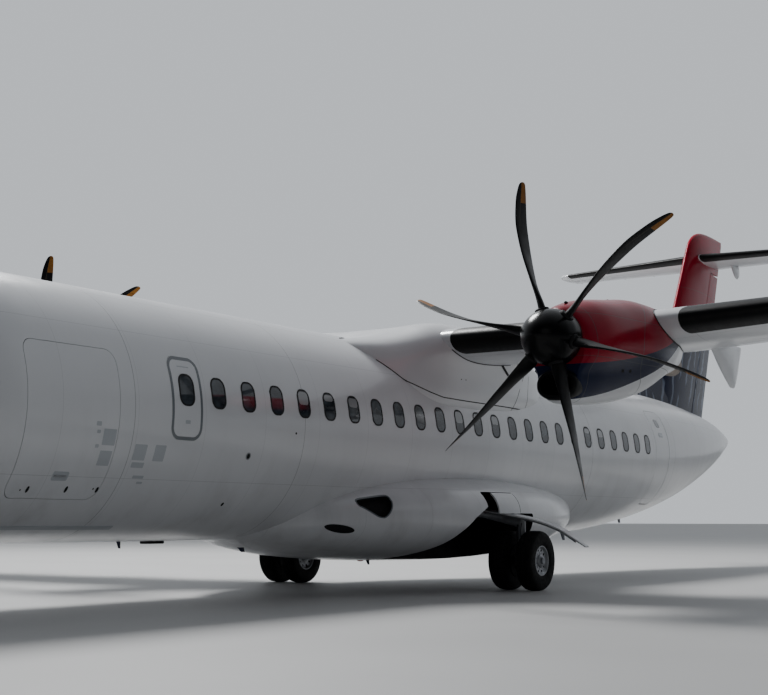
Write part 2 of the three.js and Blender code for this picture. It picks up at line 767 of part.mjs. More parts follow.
// Tail surfaces
const FIN_BASE = { le: new THREE.Vector3(-8913, 0, 3050), chord: 3032, thickness: 0.11 };
const FIN_TOP = { le: new THREE.Vector3(-11170, 0, 6900), chord: 2180, thickness: 0.12 };
const FIN_HINGE = 0.69;
const RUDDER_FOOT = -0.05;
const RUDDER_HEAD = 0.959;
const RUDDER_HEAD_GAP = 45;
const RUDDER_FOOT_GAP = 16;
const TAIL_ROOT = { le: new THREE.Vector3(-11650, 0, TAIL_PLANE_Z), chord: 1900, thickness: 0.12 };
const TAIL_TIP = {
  le: new THREE.Vector3(-12270, TAIL_HALF_SPAN, TAIL_PLANE_Z), chord: 1150, thickness: 0.11,
};
const TAIL_HINGE = 0.66;
const ELEVATOR_INNER_Y = 150;
const FIN_CAP_FOOT = 1.03;
const FIN_CAP_HEAD = 1.195;
const FIN_HEIGHT = FIN_TOP.le.z - FIN_BASE.le.z;

// The fin, cut away for the rudder
function finSolid(grow) {
  const ends = [
    mixStation(FIN_BASE, FIN_TOP, -0.1),
    mixStation(FIN_BASE, FIN_TOP, RUDDER_HEAD + (RUDDER_HEAD_GAP - grow) / FIN_HEIGHT),
  ];
  const cut = hingeCutter(ends, 0, true, FIN_HINGE, MOVING_GAP - grow);
  return foilSolid([FIN_BASE, FIN_TOP], 0, true, grow).subtract(cut);
}

// Fillet ahead of the fin: x, half width, foot, top
const DORSAL_STATIONS = [
  [-6300, 15, 3380, 3620],
  [-9500, 105, 3380, 4150],
];

function dorsalSolid(grow) {
  const rings = DORSAL_STATIONS.map(([x, half, foot, top], i) => {
    const at = i === 0 ? x + grow : x - grow;
    return [
      new THREE.Vector3(at, -half - grow, foot - grow),
      new THREE.Vector3(at, half + grow, foot - grow),
      new THREE.Vector3(at, half * 0.3 + grow, top + grow),
      new THREE.Vector3(at, -half * 0.3 - grow, top + grow),
    ];
  });
  return toSolid(loft(rings));
}

// The slot in the fuselage top that the fin and its fillet stand in
function finRoot() {
  return finSolid(CLEARANCE).add(dorsalSolid(CLEARANCE));
}

function buildTail() {
  const rudderEnds = [
    mixStation(FIN_BASE, FIN_TOP, RUDDER_FOOT),
    mixStation(FIN_BASE, FIN_TOP, RUDDER_HEAD),
  ];
  const sides = [mirrored(TAIL_TIP), TAIL_ROOT, TAIL_TIP];
  const tailSlot = foilSolid(sides, 0, false, CLEARANCE);
  const rudderPin = (isSocket) => (
    hingePin(rudderEnds, 0, true, FIN_HINGE, 1, RUDDER_HEAD_GAP, isSocket));
  addSolid('fin', finSolid(0).subtract(tailSlot).subtract(rudderPin(true)), CRIMSON);
  const rudder = toSolid(loft(rudderEnds.map((s) => movableRing(s, 0, true, FIN_HINGE))))
    .subtract(fuselageStretch(-10600, -HALF_LENGTH, RUDDER_FOOT_GAP));
  addSolid('rudder', rudder.add(rudderPin(false)), CRIMSON);
  addSolid('dorsal_fin', dorsalSolid(0).subtract(finSolid(CLEARANCE)), NAVY);

  let plane = foilSolid(sides, 0, false);
  for (const side of [1, -1]) {
    const place = (t) => {
      const station = mixStation(TAIL_ROOT, TAIL_TIP, t);
      return side > 0 ? station : mirrored(station);
    };
    const span = TAIL_HALF_SPAN;
    const [inner, outer] = [ELEVATOR_INNER_Y / span, 0.985];
    const gap = SIDE_GAP / span;
    const ends = [place(inner), place(outer)];
    const cut = hingeCutter([place(inner - gap), place(1.01)], 0, false, TAIL_HINGE);
    const pin = (isSocket) => hingePin(ends, 0, false, TAIL_HINGE, 0, SIDE_GAP, isSocket);
    plane = plane.subtract(cut).subtract(pin(true));
    const word = side > 0 ? 'left' : 'right';
    const rings = ends.map((s) => movableRing(s, 0, false, TAIL_HINGE));
    addSolid(`elevator_${word}`, toSolid(loft(rings)).add(pin(false)), WHITE);
  }
  addSolid('tailplane', plane, WHITE);

  const capBase = mixStation(FIN_BASE, FIN_TOP, FIN_CAP_FOOT);
  const capTop = mixStation(FIN_BASE, FIN_TOP, FIN_CAP_HEAD);
  capTop.chord -= 180;
  const cap = foilSolid([capBase, capTop], 0, true).subtract(tailSlot);
  addSolid('fin_tip', cap, CRIMSON);
}

// Landing gear. A set of wheels: tyre radius, rim radius, axle radius, half width of a tyre, half
// of the distance between the twins, facets
const MAIN_WHEELS = { radius: 425, rim: 230, axle: 50, half: 127, twin: 210, sides: 24 };
const NOSE_WHEELS = { radius: 225, rim: 115, axle: 30, half: 95, twin: 200, sides: 20 };
const BEARING_GAP = 1.1;
const RIM_INSET = 18;
const SHOULDER = 14;

// Both hubs and the axle between them, one body about the Y axis
function wheelPair({ rim, axle, half, twin, sides }) {
  const inner = twin - half + RIM_INSET;
  const outer = twin + half - RIM_INSET;
  const profile = [
    [axle, inner],
    [rim - CLEARANCE, inner],
    [rim - CLEARANCE, outer],
    [rim * 0.78, outer],
    [rim * 0.66, outer - RIM_INSET * 2],
    [rim * 0.36, outer - RIM_INSET * 2],
    [rim * 0.3, outer + RIM_INSET / 2],
    [0, outer + RIM_INSET / 2],
  ];
  const other = profile.map(([r, y]) => [r, -y]).reverse();
  return revolveWheel([...other, ...profile], sides);
}

function tyre({ radius, rim, half, sides }) {
  const wall = radius - rim;
  const side = [
    [radius, half * 0.42],
    [radius - SHOULDER, half * 0.74],
    [rim + wall * 0.7, half],
    [rim + wall * 0.35, half],
    [rim, half - RIM_INSET],
  ];
  const other = side.map(([r, y]) => [r, -y]).reverse();
  return revolveWheel([...other, ...side, other[0]], sides);
}

function addWheels(hubsName, tyreNames, wheels, x, y) {
  const hubs = addMesh(hubsName, wheelPair(wheels), RIM_GREY);
  hubs.position.set(x, y, wheels.radius);
  for (const [name, side] of tyreNames) {
    const mesh = addMesh(name, tyre(wheels), RUBBER);
    mesh.position.set(x, y + side * wheels.twin, wheels.radius);
  }
}

// The boss that an axle turns in and its bore
function axleEye(x, y, wheels, radius, halfWidth) {
  const at = (off) => new THREE.Vector3(x, y + off, wheels.radius);
  return {
    boss: rod(at(-halfWidth), at(halfWidth), radius, 20),
    bore: rod(at(-halfWidth - 20), at(halfWidth + 20), wheels.axle + BEARING_GAP, wheels.sides),
  };
}

// Plate over the main wheels: distance from the centre line, height
const GEAR_DOOR_LINE = [
  [1330, 1222], [1600, 1152], [2000, 1064], [2350, 985], [2650, 850], [2860, 680], [2950, 570],
];
const GEAR_DOOR_HALF = 180;
const GEAR_DOOR_THICK = 24;

function gearDoor(side, grow) {
  const [x0, x1] = [MAIN_AXLE_X - GEAR_DOOR_HALF, MAIN_AXLE_X + GEAR_DOOR_HALF];
  return toSolid(loft(GEAR_DOOR_LINE.map(([across, z]) => [
    new THREE.Vector3(x0, side * across, z - grow),
    new THREE.Vector3(x1, side * across, z - grow),
    new THREE.Vector3(x1, side * across, z + GEAR_DOOR_THICK),
    new THREE.Vector3(x0, side * across, z + GEAR_DOOR_THICK),
  ])));
}

// Bars of a main leg: from and to, each as x ahead of the axle, distance from the centre line and
// height; radius. The first spans the wheel bay.
const MAIN_LEG_BARS = [
  [[BAY.x0 - MAIN_AXLE_X + CLEARANCE, 1330, 1130], [BAY.x1 - MAIN_AXLE_X - CLEARANCE, 1330, 1130], 65],
  [[0, 1330, 1130], [0, 2060, 950], 66],
  [[0, MAIN_TRACK_HALF, 950], [0, MAIN_TRACK_HALF, MAIN_WHEELS.radius], 60],
  [[525, 1330, 1130], [0, 1800, 1030], 40],
  [[0, 1900, 980], [0, 1900, 1110], 50],
];
const MAIN_BOSS = { radius: 92, half: 72 };

function buildMainGear(side) {
  const word = side > 0 ? 'left' : 'right';
  const y = side * MAIN_TRACK_HALF;
  const place = ([dx, across, z]) => new THREE.Vector3(MAIN_AXLE_X + dx, side * across, z);
  const bars = MAIN_LEG_BARS.map(([from, to, radius]) => rod(place(from), place(to), radius));
  const { boss, bore } = axleEye(MAIN_AXLE_X, y, MAIN_WHEELS, MAIN_BOSS.radius, MAIN_BOSS.half);
  const leg = joined([...bars, boss]).subtract(bore).subtract(gearDoor(side, CLEARANCE));
  addSolid(`main_gear_leg_${word}`, leg, STEEL);
  addSolid(`main_gear_door_${word}`, gearDoor(side, 0), WHITE);
  addWheels(`main_wheel_hubs_${word}`, [
    [`main_tyre_${word}_outer`, side],
    [`main_tyre_${word}_inner`, -side],
  ], MAIN_WHEELS, MAIN_AXLE_X, y);
}

// Bars of the nose leg: from and to, each as x ahead of the axle, y and height; radius. The two
// cross bars span the bay.
const NOSE_LEG_FOOT = 480;
const NOSE_SPAN = NOSE_BAY.half - CLEARANCE;
const NOSE_LEG_BARS = [
  [[0, 0, NOSE_LEG_FOOT], [0, 0, 1300], 65],
  [[0, NOSE_SPAN, 1230], [0, -NOSE_SPAN, 1230], 55],
  [[0, 0, 760], [-560, 0, 1230], 38],
  [[-560, NOSE_SPAN, 1230], [-560, -NOSE_SPAN, 1230], 38],
];
const NOSE_PISTON_RADIUS = 48;
const NOSE_BOSS = { radius: 62, half: 80 };
const NOSE_DOOR = { x0: 11160, x1: 11800, foot: 560, head: 1100, thick: 22 };

function buildNoseGear() {
  const place = ([dx, y, z]) => new THREE.Vector3(NOSE_AXLE_X + dx, y, z);
  const bars = NOSE_LEG_BARS.map(([from, to, radius]) => rod(place(from), place(to), radius));
  addSolid('nose_gear_leg', joined(bars), STEEL);
  const { boss, bore } = axleEye(NOSE_AXLE_X, 0, NOSE_WHEELS, NOSE_BOSS.radius, NOSE_BOSS.half);
  const piston = rod(
    place([0, 0, NOSE_WHEELS.radius]),
    place([0, 0, NOSE_LEG_FOOT - CLEARANCE]),
    NOSE_PISTON_RADIUS,
  );
  addSolid('nose_gear_fork', joined([piston, boss]).subtract(bore), STEEL);
  addWheels('nose_wheel_hubs', [['nose_tyre_left', 1], ['nose_tyre_right', -1]],
    NOSE_WHEELS, NOSE_AXLE_X, 0);
  for (const [word, side] of [['left', 1], ['right', -1]]) {
    const near = side * NOSE_BAY.half;
    const far = side * (NOSE_BAY.half + NOSE_DOOR.thick);
    const hung = boxSolid(NOSE_DOOR.x0, NOSE_DOOR.x1, Math.min(near, far), Math.max(near, far),
      NOSE_DOOR.foot, NOSE_DOOR.head);
    addSolid(`nose_gear_door_${word}`, hung.subtract(fuselageStretch(12800, 10600, CLEARANCE)), WHITE);
  }
}

const wingCutter = foilSolid(
  [mirrored(wingStation(WING_BREAK_Y)), wingStation(WING_BREAK_Y)], WING_INCIDENCE, false, CLEARANCE);

const wingCentre = buildWing();
addSolid('wing_centre', wingCentre, WHITE);
buildFuselage(wingCutter);
buildHump(wingCutter);
buildBelly();
const nacelleWing = [1, -1].map((side) => {
  const place = (y) => (side > 0 ? wingStation(y) : mirrored(wingStation(y)));
  return foilSolid([place(2500), place(WING_BREAK_Y), place(WING_TIP_Y)], WING_INCIDENCE, false, CLEARANCE);
});
buildPowerplant(1, nacelleWing[0]);
buildPowerplant(-1, nacelleWing[1]);
buildPropeller(1);
buildPropeller(-1);
buildTail();
buildMainGear(1);
buildMainGear(-1);
buildNoseGear();

export default aircraft;
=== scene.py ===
"""Visual model of a turboprop airliner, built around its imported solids.

Metres. +X is forward, +Y is to port, +Z is up, with the origin on the ground at mid-length.
A shell is a pair of points and faces; build() makes one piece of one shell or of several.
"""
import math
from functools import partialmethod

import bmesh
import bpy
import numpy as np
from mathutils import Matrix, Vector


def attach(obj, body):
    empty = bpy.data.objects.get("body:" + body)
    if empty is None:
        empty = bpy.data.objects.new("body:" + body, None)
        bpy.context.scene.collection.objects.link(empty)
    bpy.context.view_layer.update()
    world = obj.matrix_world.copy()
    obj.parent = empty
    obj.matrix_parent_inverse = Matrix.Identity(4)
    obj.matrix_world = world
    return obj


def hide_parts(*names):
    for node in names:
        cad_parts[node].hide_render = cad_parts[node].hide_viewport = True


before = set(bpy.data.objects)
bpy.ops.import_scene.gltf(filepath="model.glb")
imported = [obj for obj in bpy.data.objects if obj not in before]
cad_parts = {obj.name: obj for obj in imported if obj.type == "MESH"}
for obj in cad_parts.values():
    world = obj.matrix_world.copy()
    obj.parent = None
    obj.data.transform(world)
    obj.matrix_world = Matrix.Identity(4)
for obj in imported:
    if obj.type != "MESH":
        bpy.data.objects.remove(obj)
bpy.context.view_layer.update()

PI = math.pi
SIDES = ((1, "left"), (-1, "right"))
ENGINE_Y, PROP_X, PROP_Z = 4.05, 4.34, 3.15


# ---- Materials ----
class Graph:
    """A short way to write a material's nodes."""

    def __init__(self, name):
        self.material = bpy.data.materials.new(name)
        self.material.use_nodes = True
        self.tree = self.material.node_tree
        self.shader = self.tree.nodes["Principled BSDF"]
        self.object = self.node("TexCoord").outputs["Object"]
        self.x, self.y, self.z = self.node("SeparateXYZ", self.object).outputs

    def feed(self, socket, value):
        if isinstance(value, bpy.types.NodeSocket):
            self.tree.links.new(value, socket)
        else:
            socket.default_value = (*value, 1.0) if socket.type == "RGBA" else value

    def node(self, kind, *values, **settings):
        made = self.tree.nodes.new("ShaderNode" + kind)
        for key, value in settings.items():
            setattr(made, key, value)
        for socket, value in zip(made.inputs, values):
            self.feed(socket, value)
        return made

    def math(self, operation, *values):
        return self.node("Math", *values, operation=operation).outputs[0]

    add, sub, mul = partialmethod(math, "ADD"), partialmethod(math, "SUBTRACT"), partialmethod(math, "MULTIPLY")
    fma, power = partialmethod(math, "MULTIPLY_ADD"), partialmethod(math, "POWER")
    root, size, fold = partialmethod(math, "SQRT"), partialmethod(math, "ABSOLUTE"), partialmethod(math, "PINGPONG")
    most, less = partialmethod(math, "MAXIMUM"), partialmethod(math, "LESS_THAN")
    more = partialmethod(math, "GREATER_THAN")

    def mix(self, factor, first, second):
        made = self.node("Mix", factor, data_type="RGBA")
        self.feed(made.inputs[6], first)
        self.feed(made.inputs[7], second)
        return made.outputs[2]

    def ramp(self, *values):
        """Takes a value softly from low and high to 0 and 1, or to two given numbers."""
        return self.node("MapRange", *values, interpolation_type="SMOOTHSTEP").outputs[0]

    def noise(self, scale, detail=3.0, stretch=(1, 1, 1), roughness=0.55):
        mapping = self.node("Mapping", self.object)
        mapping.inputs["Scale"].default_value = stretch
        made = self.node("TexNoise", mapping.outputs[0])
        for name, value in (("Scale", scale), ("Detail", detail), ("Roughness", roughness)):
            made.inputs[name].default_value = value
        return made.outputs["Fac"]

    def line(self, value, places, width):
        """1 on thin lines where value meets one of the places."""
        total = None
        for place in places:
            here = self.less(self.size(self.sub(value, place)), width / 2)
            total = here if total is None else self.most(total, here)
        return total

    def every(self, value, step, width, shift):
        """1 on thin lines at every step of value."""
        return self.less(self.fold(self.add(value, shift), step / 2), width / 2)

    def bump(self, height, strength, distance):
        made = self.node("Bump")
        for name, value in (("Strength", strength), ("Distance", distance), ("Height", height)):
            self.feed(made.inputs[name], value)
        self.feed(self.shader.inputs["Normal"], made.outputs[0])

    def finish(self, colour, roughness, metallic=0.0, coat=0.0, coat_roughness=0.08, specular=0.5):
        for name, value in (
            ("Base Color", colour), ("Roughness", roughness), ("Metallic", metallic), ("Coat Weight", coat),
            ("Coat Roughness", coat_roughness), ("Specular IOR Level", specular),
        ):
            self.feed(self.shader.inputs[name], value)
        return self.material


WHITE = (0.78, 0.79, 0.81)
CRIMSON = (0.33, 0.004, 0.022)
NAVY = (0.01, 0.016, 0.05)
BLACK = (0.0025, 0.0025, 0.003)
FADED = (0.45, 0.47, 0.5)


def scaled(colour, by, plus=0.0):
    return tuple(c * by + plus for c in colour)


def gloss_paint(name, colour_of, seams_of=None, grime=0.25, coat=0.25, faded=None, specular=0.5):
    """Glossy aircraft paint: colour_of gives its scheme, seams_of its panel lines."""
    g = Graph(name)
    base = colour_of(g)
    if faded:
        base = g.mix(g.ramp(g.noise(0.45, 2.0), 0.3, 0.75, 0.0, 0.08), base, faded)
    streak = g.ramp(g.noise(2.4, 5.0, (1.0, 0.8, 0.22), 0.6), 0.4, 0.85)
    dirt = g.mul(streak, g.fma(g.ramp(g.z, 2.2, 0.5), grime, grime * 0.2))
    base = g.mix(dirt, base, (0.2, 0.185, 0.17))
    height = g.noise(7.0, 2.0)
    if seams_of:
        seams = seams_of(g)
        base = g.mix(g.mul(seams, 0.5), base, (0.08, 0.085, 0.09))
        height = g.sub(height, seams)
    g.bump(height, 0.1, 0.004)
    return g.finish(base, g.ramp(g.noise(2.2, 4.0), 0.2, 0.8, 0.19, 0.27), coat=coat, specular=specular)


def plain(*colour):
    return lambda g: g.mix(g.ramp(g.noise(0.9, 2.0), 0.2, 0.8), colour, scaled(colour, 0.955))


def fuselage_seams(g):
    """Frame joints round the body and laps along it."""
    rings = g.line(g.x, (12.9, 10.7, 8.64, 5.6, -2.8, -7.0, -8.9, -11.9), 0.009)
    laps = g.mul(g.line(g.z, (1.42, 2.98, 3.42), 0.006), 0.45)
    return g.most(rings, g.most(g.mul(g.every(g.x, 1.098, 0.006, 0.2), 0.35), laps))


def wing_seams(g):
    return g.most(g.mul(g.every(g.y, 1.24, 0.008, -0.02), 0.6), g.mul(g.line(g.x, (1.94, 0.98), 0.008), 0.6))


def nacelle_colour(g):
    """Crimson above, navy below, white along the belly and at the rear."""
    ahead = g.sub(4.1, g.x)
    split = g.fma(ahead, 0.085, g.fma(g.power(ahead, 2.0), 0.055, 2.84))
    belly = g.fma(g.power(g.most(ahead, 0.0), 2.0), 0.085, g.fma(ahead, 0.13, 2.42))
    red = g.mix(g.ramp(g.noise(1.5), 0.3, 0.8), CRIMSON, (0.27, 0.006, 0.024))
    return g.mix(g.less(g.z, belly), g.mix(g.more(g.z, split), NAVY, red), WHITE)


def nacelle_seams(g):
    bowed = g.fma(g.power(g.sub(g.z, 3.1), 2.0), 1.1, g.x)
    rings = g.most(g.line(bowed, (2.86,), 0.022), g.line(g.x, (3.93,), 0.014))
    return g.most(rings, g.line(g.z, (3.46, 2.93), 0.008))


def fin_colour(g):
    """Crimson over navy, with soft pale strokes on the navy."""
    rake = g.fma(g.z, 0.42, g.add(g.x, g.mul(g.noise(1.3, 2.0), 0.5)))
    broken = g.ramp(g.noise(1.9, 1.0, (1.2, 1.0, 0.8)), 0.42, 0.5)
    stroke = g.mul(g.less(g.fold(rake, 0.19), 0.042), broken)
    lower = g.mix(g.mul(stroke, g.mul(g.ramp(g.z, 3.2, 3.7), 0.55)), NAVY, (0.34, 0.4, 0.52))
    return g.mix(g.more(g.z, g.fma(g.x, 0.1, 6.55)), lower, CRIMSON)


def fin_seams(g):
    return g.line(g.z, (4.3, 5.3, 6.2), 0.008)


def rubber(name, colour, low, high, scale, strength):
    """Matt rubber with a fine grain and faint scuffs."""
    g = Graph(name)
    base = g.mix(g.ramp(g.noise(scale * 0.2, 5.0), 0.45, 0.8, 0.0, 0.35), colour, scaled(colour, 2.2, 0.003))
    g.bump(g.noise(scale, 4.0), strength, 0.003)
    return g.finish(base, g.ramp(g.noise(scale * 0.5), 0.2, 0.8, low, high), specular=0.18)


def metal(name, colour, low, high, stretch=(1, 1, 1), metallic=1.0):
    """Brushed or cast metal with stains."""
    g = Graph(name)
    base = g.mix(g.ramp(g.noise(6.0, 6.0), 0.45, 0.85, 0.0, 0.45), colour, scaled(colour, 0.45))
    g.bump(g.noise(60.0, 3.0, stretch), 0.12, 0.002)
    return g.finish(base, g.ramp(g.noise(14.0, 4.0, stretch), 0.2, 0.8, low, high), metallic)


def blade_material():
    """Black composite blade with a pale wear band on its edge and an amber tip, darkened with painted shade."""
    g = Graph("blade_composite")
    aside, above = g.sub(g.size(g.y), ENGINE_Y), g.sub(g.z, PROP_Z)
    radius = g.root(g.add(g.power(aside, 2.0), g.power(above, 2.0)))
    body = g.mix(g.ramp(g.noise(5.0, 3.0), 0.3, 0.8), BLACK, (0.0045, 0.0045, 0.005))
    # The tip is real amber paint, darkened to its tone in shade: part real colour, part painted shade.
    amber = g.mix(g.ramp(g.noise(9.0, 4.0), 0.35, 0.75), (0.36, 0.145, 0.022), (0.24, 0.095, 0.018))
    ahead, edge = g.sub(g.x, PROP_X), g.fma(radius, -0.3, 0.475)
    wear = g.mul(g.less(g.size(g.sub(ahead, edge)), 0.004), g.ramp(radius, 1.15, 1.6, 0.0, 0.6))
    is_tip = g.mul(g.more(radius, 1.69), g.less(ahead, edge))
    base = g.mix(is_tip, g.mix(wear, body, (0.1, 0.085, 0.06)), amber)
    g.bump(g.noise(120.0, 2.0), 0.05, 0.002)
    return g.finish(base, g.ramp(g.noise(8.0, 4.0), 0.2, 0.8, 0.34, 0.5), specular=0.2)


def glass(name, colour, rough):
    """Dark glazing with painted reflections: soft cloudy patches of a lighter tone."""
    g = Graph(name)
    # Painted reflections: noise lifts the glass to a lighter tone in soft cloudy patches.
    base = g.mix(g.ramp(g.noise(4.0, 2.0, (1.0, 1.0, 1.7)), 0.35, 0.7), colour, scaled(colour, 2.4, 0.012))
    g.bump(g.noise(3.0, 1.0), 0.03, 0.004)
    return g.finish(base, g.ramp(g.noise(5.0), 0.2, 0.8, rough, rough + 0.06), coat=0.35, coat_roughness=0.03)


def cabin_material():
    """Pale cabin lining, seen through an open door, over a dark carpet."""
    g = Graph("cabin_lining")
    base = g.mix(g.ramp(g.noise(3.0, 3.0), 0.3, 0.8), (0.42, 0.42, 0.4), (0.33, 0.33, 0.32))
    carpet = g.mix(g.noise(160.0, 2.0), (0.05, 0.06, 0.09), (0.09, 0.1, 0.13))
    g.bump(g.noise(90.0, 2.0), 0.2, 0.002)
    return g.finish(g.mix(g.less(g.z, 1.36), base, carpet), g.ramp(g.noise(9.0), 0.2, 0.8, 0.5, 0.7))


M, SLOT = {}, {}
for key, slot, material in (
    ("white", "paint_white", gloss_paint("paint_white_body", plain(*WHITE), fuselage_seams, faded=FADED)),
    ("white_wing", "paint_white",
     gloss_paint("paint_white_wing", plain(0.74, 0.75, 0.77), wing_seams, grime=0.1, faded=FADED)),
    ("white_plain", "paint_white", gloss_paint("paint_white_plain", plain(*WHITE), grime=0.15, faded=FADED)),
    ("nacelle", "paint_crimson",
     gloss_paint("paint_nacelle", nacelle_colour, nacelle_seams, grime=0.02, coat=0.0, specular=0.12)),
    ("fin", "paint_crimson", gloss_paint("paint_fin", fin_colour, fin_seams, grime=0.01, coat=0.0, specular=0.12)),
    ("navy", "paint_navy", gloss_paint("paint_navy_plain", plain(*NAVY), grime=0.02, coat=0.1, specular=0.3)),
    ("grey_line", "gear_steel", gloss_paint("paint_grey_line", plain(0.16, 0.18, 0.2), grime=0.05, coat=0.2)),
    ("placard", "gear_steel", gloss_paint("paint_placard", plain(0.5, 0.53, 0.56), grime=0.1, coat=0.2)),
    ("spinner", "blade_black",
     gloss_paint("spinner_black", plain(0.003, 0.003, 0.0035), grime=0.005, coat=0.0, specular=0.16)),
    ("blind", "paint_white", gloss_paint("window_blind", plain(0.3, 0.31, 0.32), grime=0.1, coat=0.6)),
    ("boot", "tyre_rubber", rubber("deicer_rubber", BLACK, 0.36, 0.52, 40.0, 0.12)),
    ("tyre", "tyre_rubber", rubber("tyre_rubber", (0.006, 0.006, 0.0065), 0.62, 0.85, 55.0, 0.35)),
    ("seal", "tyre_rubber", rubber("seal_rubber", (0.012, 0.012, 0.013), 0.5, 0.7, 80.0, 0.2)),
    # Near black for dark parts such as wicks and wipers, and painted shade in bays, inlets, recesses and under the
    # gear plates.
    ("dark", "tyre_rubber", rubber("near_black_and_painted_shade", (0.01, 0.01, 0.011), 0.6, 0.8, 30.0, 0.2)),
    ("blade", "blade_black", blade_material()),
    ("glass", "blade_black", glass("cabin_glass", (0.022, 0.028, 0.034), 0.05)),
    ("windscreen", "blade_black", glass("cockpit_glass", (0.012, 0.016, 0.02), 0.04)),
    ("lamp_red", "paint_crimson", glass("lamp_red", (0.35, 0.01, 0.01), 0.08)),
    ("lamp_green", "paint_navy", glass("lamp_green", (0.01, 0.22, 0.06), 0.08)),
    ("lamp_clear", "paint_white", glass("lamp_clear", (0.3, 0.31, 0.32), 0.06)),
    ("steel", "gear_steel", metal("gear_paint", (0.3, 0.31, 0.33), 0.35, 0.55, metallic=0.35)),
    ("chrome", "engine_metal", metal("oleo_chrome", (0.62, 0.62, 0.64), 0.1, 0.22)),
    ("alloy", "wheel_alloy", metal("wheel_alloy", (0.34, 0.35, 0.37), 0.32, 0.5, (1, 6, 1), 0.8)),
    ("exhaust", "exhaust_steel", metal("exhaust_heat_stained", (0.26, 0.22, 0.19), 0.35, 0.6)),
    ("engine", "engine_metal", metal("engine_case", (0.24, 0.25, 0.27), 0.35, 0.55)),
    ("bare", "wheel_alloy", metal("bare_aluminium", (0.48, 0.49, 0.51), 0.28, 0.45, (1, 1, 4))),
    ("cabin", "paint_white", cabin_material()),
):
    M[key], SLOT[key] = material, slot


# ---- Pieces ----
def build(name, parts, key, body="airframe", replaces=(), weld=True, loose=False, sharp=32.0):
    """Makes a piece of one shell or a list of them. A loose one is dressed once it has been cut."""
    verts, faces = join(parts if isinstance(parts, list) else [parts])
    mesh = bpy.data.meshes.new(name)
    mesh.from_pydata(verts.tolist(), [], faces)
    bm = bmesh.new()
    bm.from_mesh(mesh)
    if weld:
        bmesh.ops.remove_doubles(bm, verts=bm.verts, dist=1e-5)
        bmesh.ops.dissolve_degenerate(bm, edges=bm.edges, dist=1e-6)
    bmesh.ops.recalc_face_normals(bm, faces=bm.faces)
    bm.to_mesh(mesh)
    bm.free()
    mesh.materials.append(M[key])
    obj = bpy.data.objects.new(name, mesh)
    bpy.context.collection.objects.link(obj)
    shade(obj, sharp)
    if not loose:
        dress(obj, body, replaces)
    return obj


def shade(obj, sharp=32.0):
    obj.data.polygons.foreach_set("use_smooth", [True] * len(obj.data.polygons))
    obj.data.set_sharp_from_angle(angle=math.radians(sharp))


def dress(obj, body="airframe", replaces=()):
    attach(obj, body)
    if replaces:
        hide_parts(*replaces)


def cut(obj, cutters, key):
    """Subtracts shells that don't overlap; the new faces take the material of the key."""
    tool = build("cutter", cutters, key, loose=True)
    step = obj.modifiers.new("cut", "BOOLEAN")
    step.operation, step.object, step.solver = "DIFFERENCE", tool, "EXACT"
    step.material_mode = "TRANSFER"
    result = bpy.data.meshes.new_from_object(obj.evaluated_get(bpy.context.evaluated_depsgraph_get()))
    obj.modifiers.remove(step)
    obj.data = result
    bpy.data.objects.remove(tool)
    shade(obj)


def join(parts):
    verts, faces, start = [], [], 0
    for v, f in parts:
        verts.append(np.asarray(v, float).reshape(-1, 3))
        faces += [tuple(i + start for i in face) for face in f]
        start += len(verts[-1])
    return np.concatenate(verts), faces


# ---- Shells ----
def circle(sides):
    return np.arange(sides) / sides * 2 * PI


def grid(rows, cols, start=0, wrap=False):
    """The faces of a grid of points."""
    faces = []
    for r in range(rows - 1):
        for c in range(cols if wrap else cols - 1):
            d, a = (c + 1) % cols, start + r * cols
            faces.append((a + c, a + d, a + cols + d, a + cols + c))
    return faces


def loft(rings):
    rings = np.asarray(rings, float)
    n, m, _ = rings.shape
    return rings.reshape(-1, 3), grid(n, m, wrap=True) + [tuple(range(m))[::-1], tuple(range((n - 1) * m, n * m))]


def pchip(xs, ys):
    """A smooth curve through points that never overshoots them."""
    xs, ys = np.asarray(xs, float), np.asarray(ys, float)
    if xs[0] > xs[-1]:
        xs, ys = xs[::-1], ys[::-1]
    h = np.diff(xs)
    d = np.diff(ys) / h
    m = np.zeros(len(xs))
    m[0], m[-1] = d[0], d[-1]
    for k in range(1, len(xs) - 1):
        if d[k - 1] * d[k] > 0:
            w1, w2 = 2 * h[k] + h[k - 1], h[k] + 2 * h[k - 1]
            m[k] = (w1 + w2) / (w1 / d[k - 1] + w2 / d[k])

    def at(x):
        x = np.clip(np.asarray(x, float), xs[0], xs[-1])
        k = np.clip(np.searchsorted(xs, x, side="right") - 1, 0, len(h) - 1)
        t = (x - xs[k]) / h[k]
        a = (1 + 2 * t) * (1 - t) ** 2 * ys[k] + t * (1 - t) ** 2 * h[k] * m[k]
        return a + t * t * (3 - 2 * t) * ys[k + 1] + t * t * (t - 1) * h[k] * m[k + 1]

    return at


# Height of the shelf on the hump's sides
SHELF_Z = 3.5


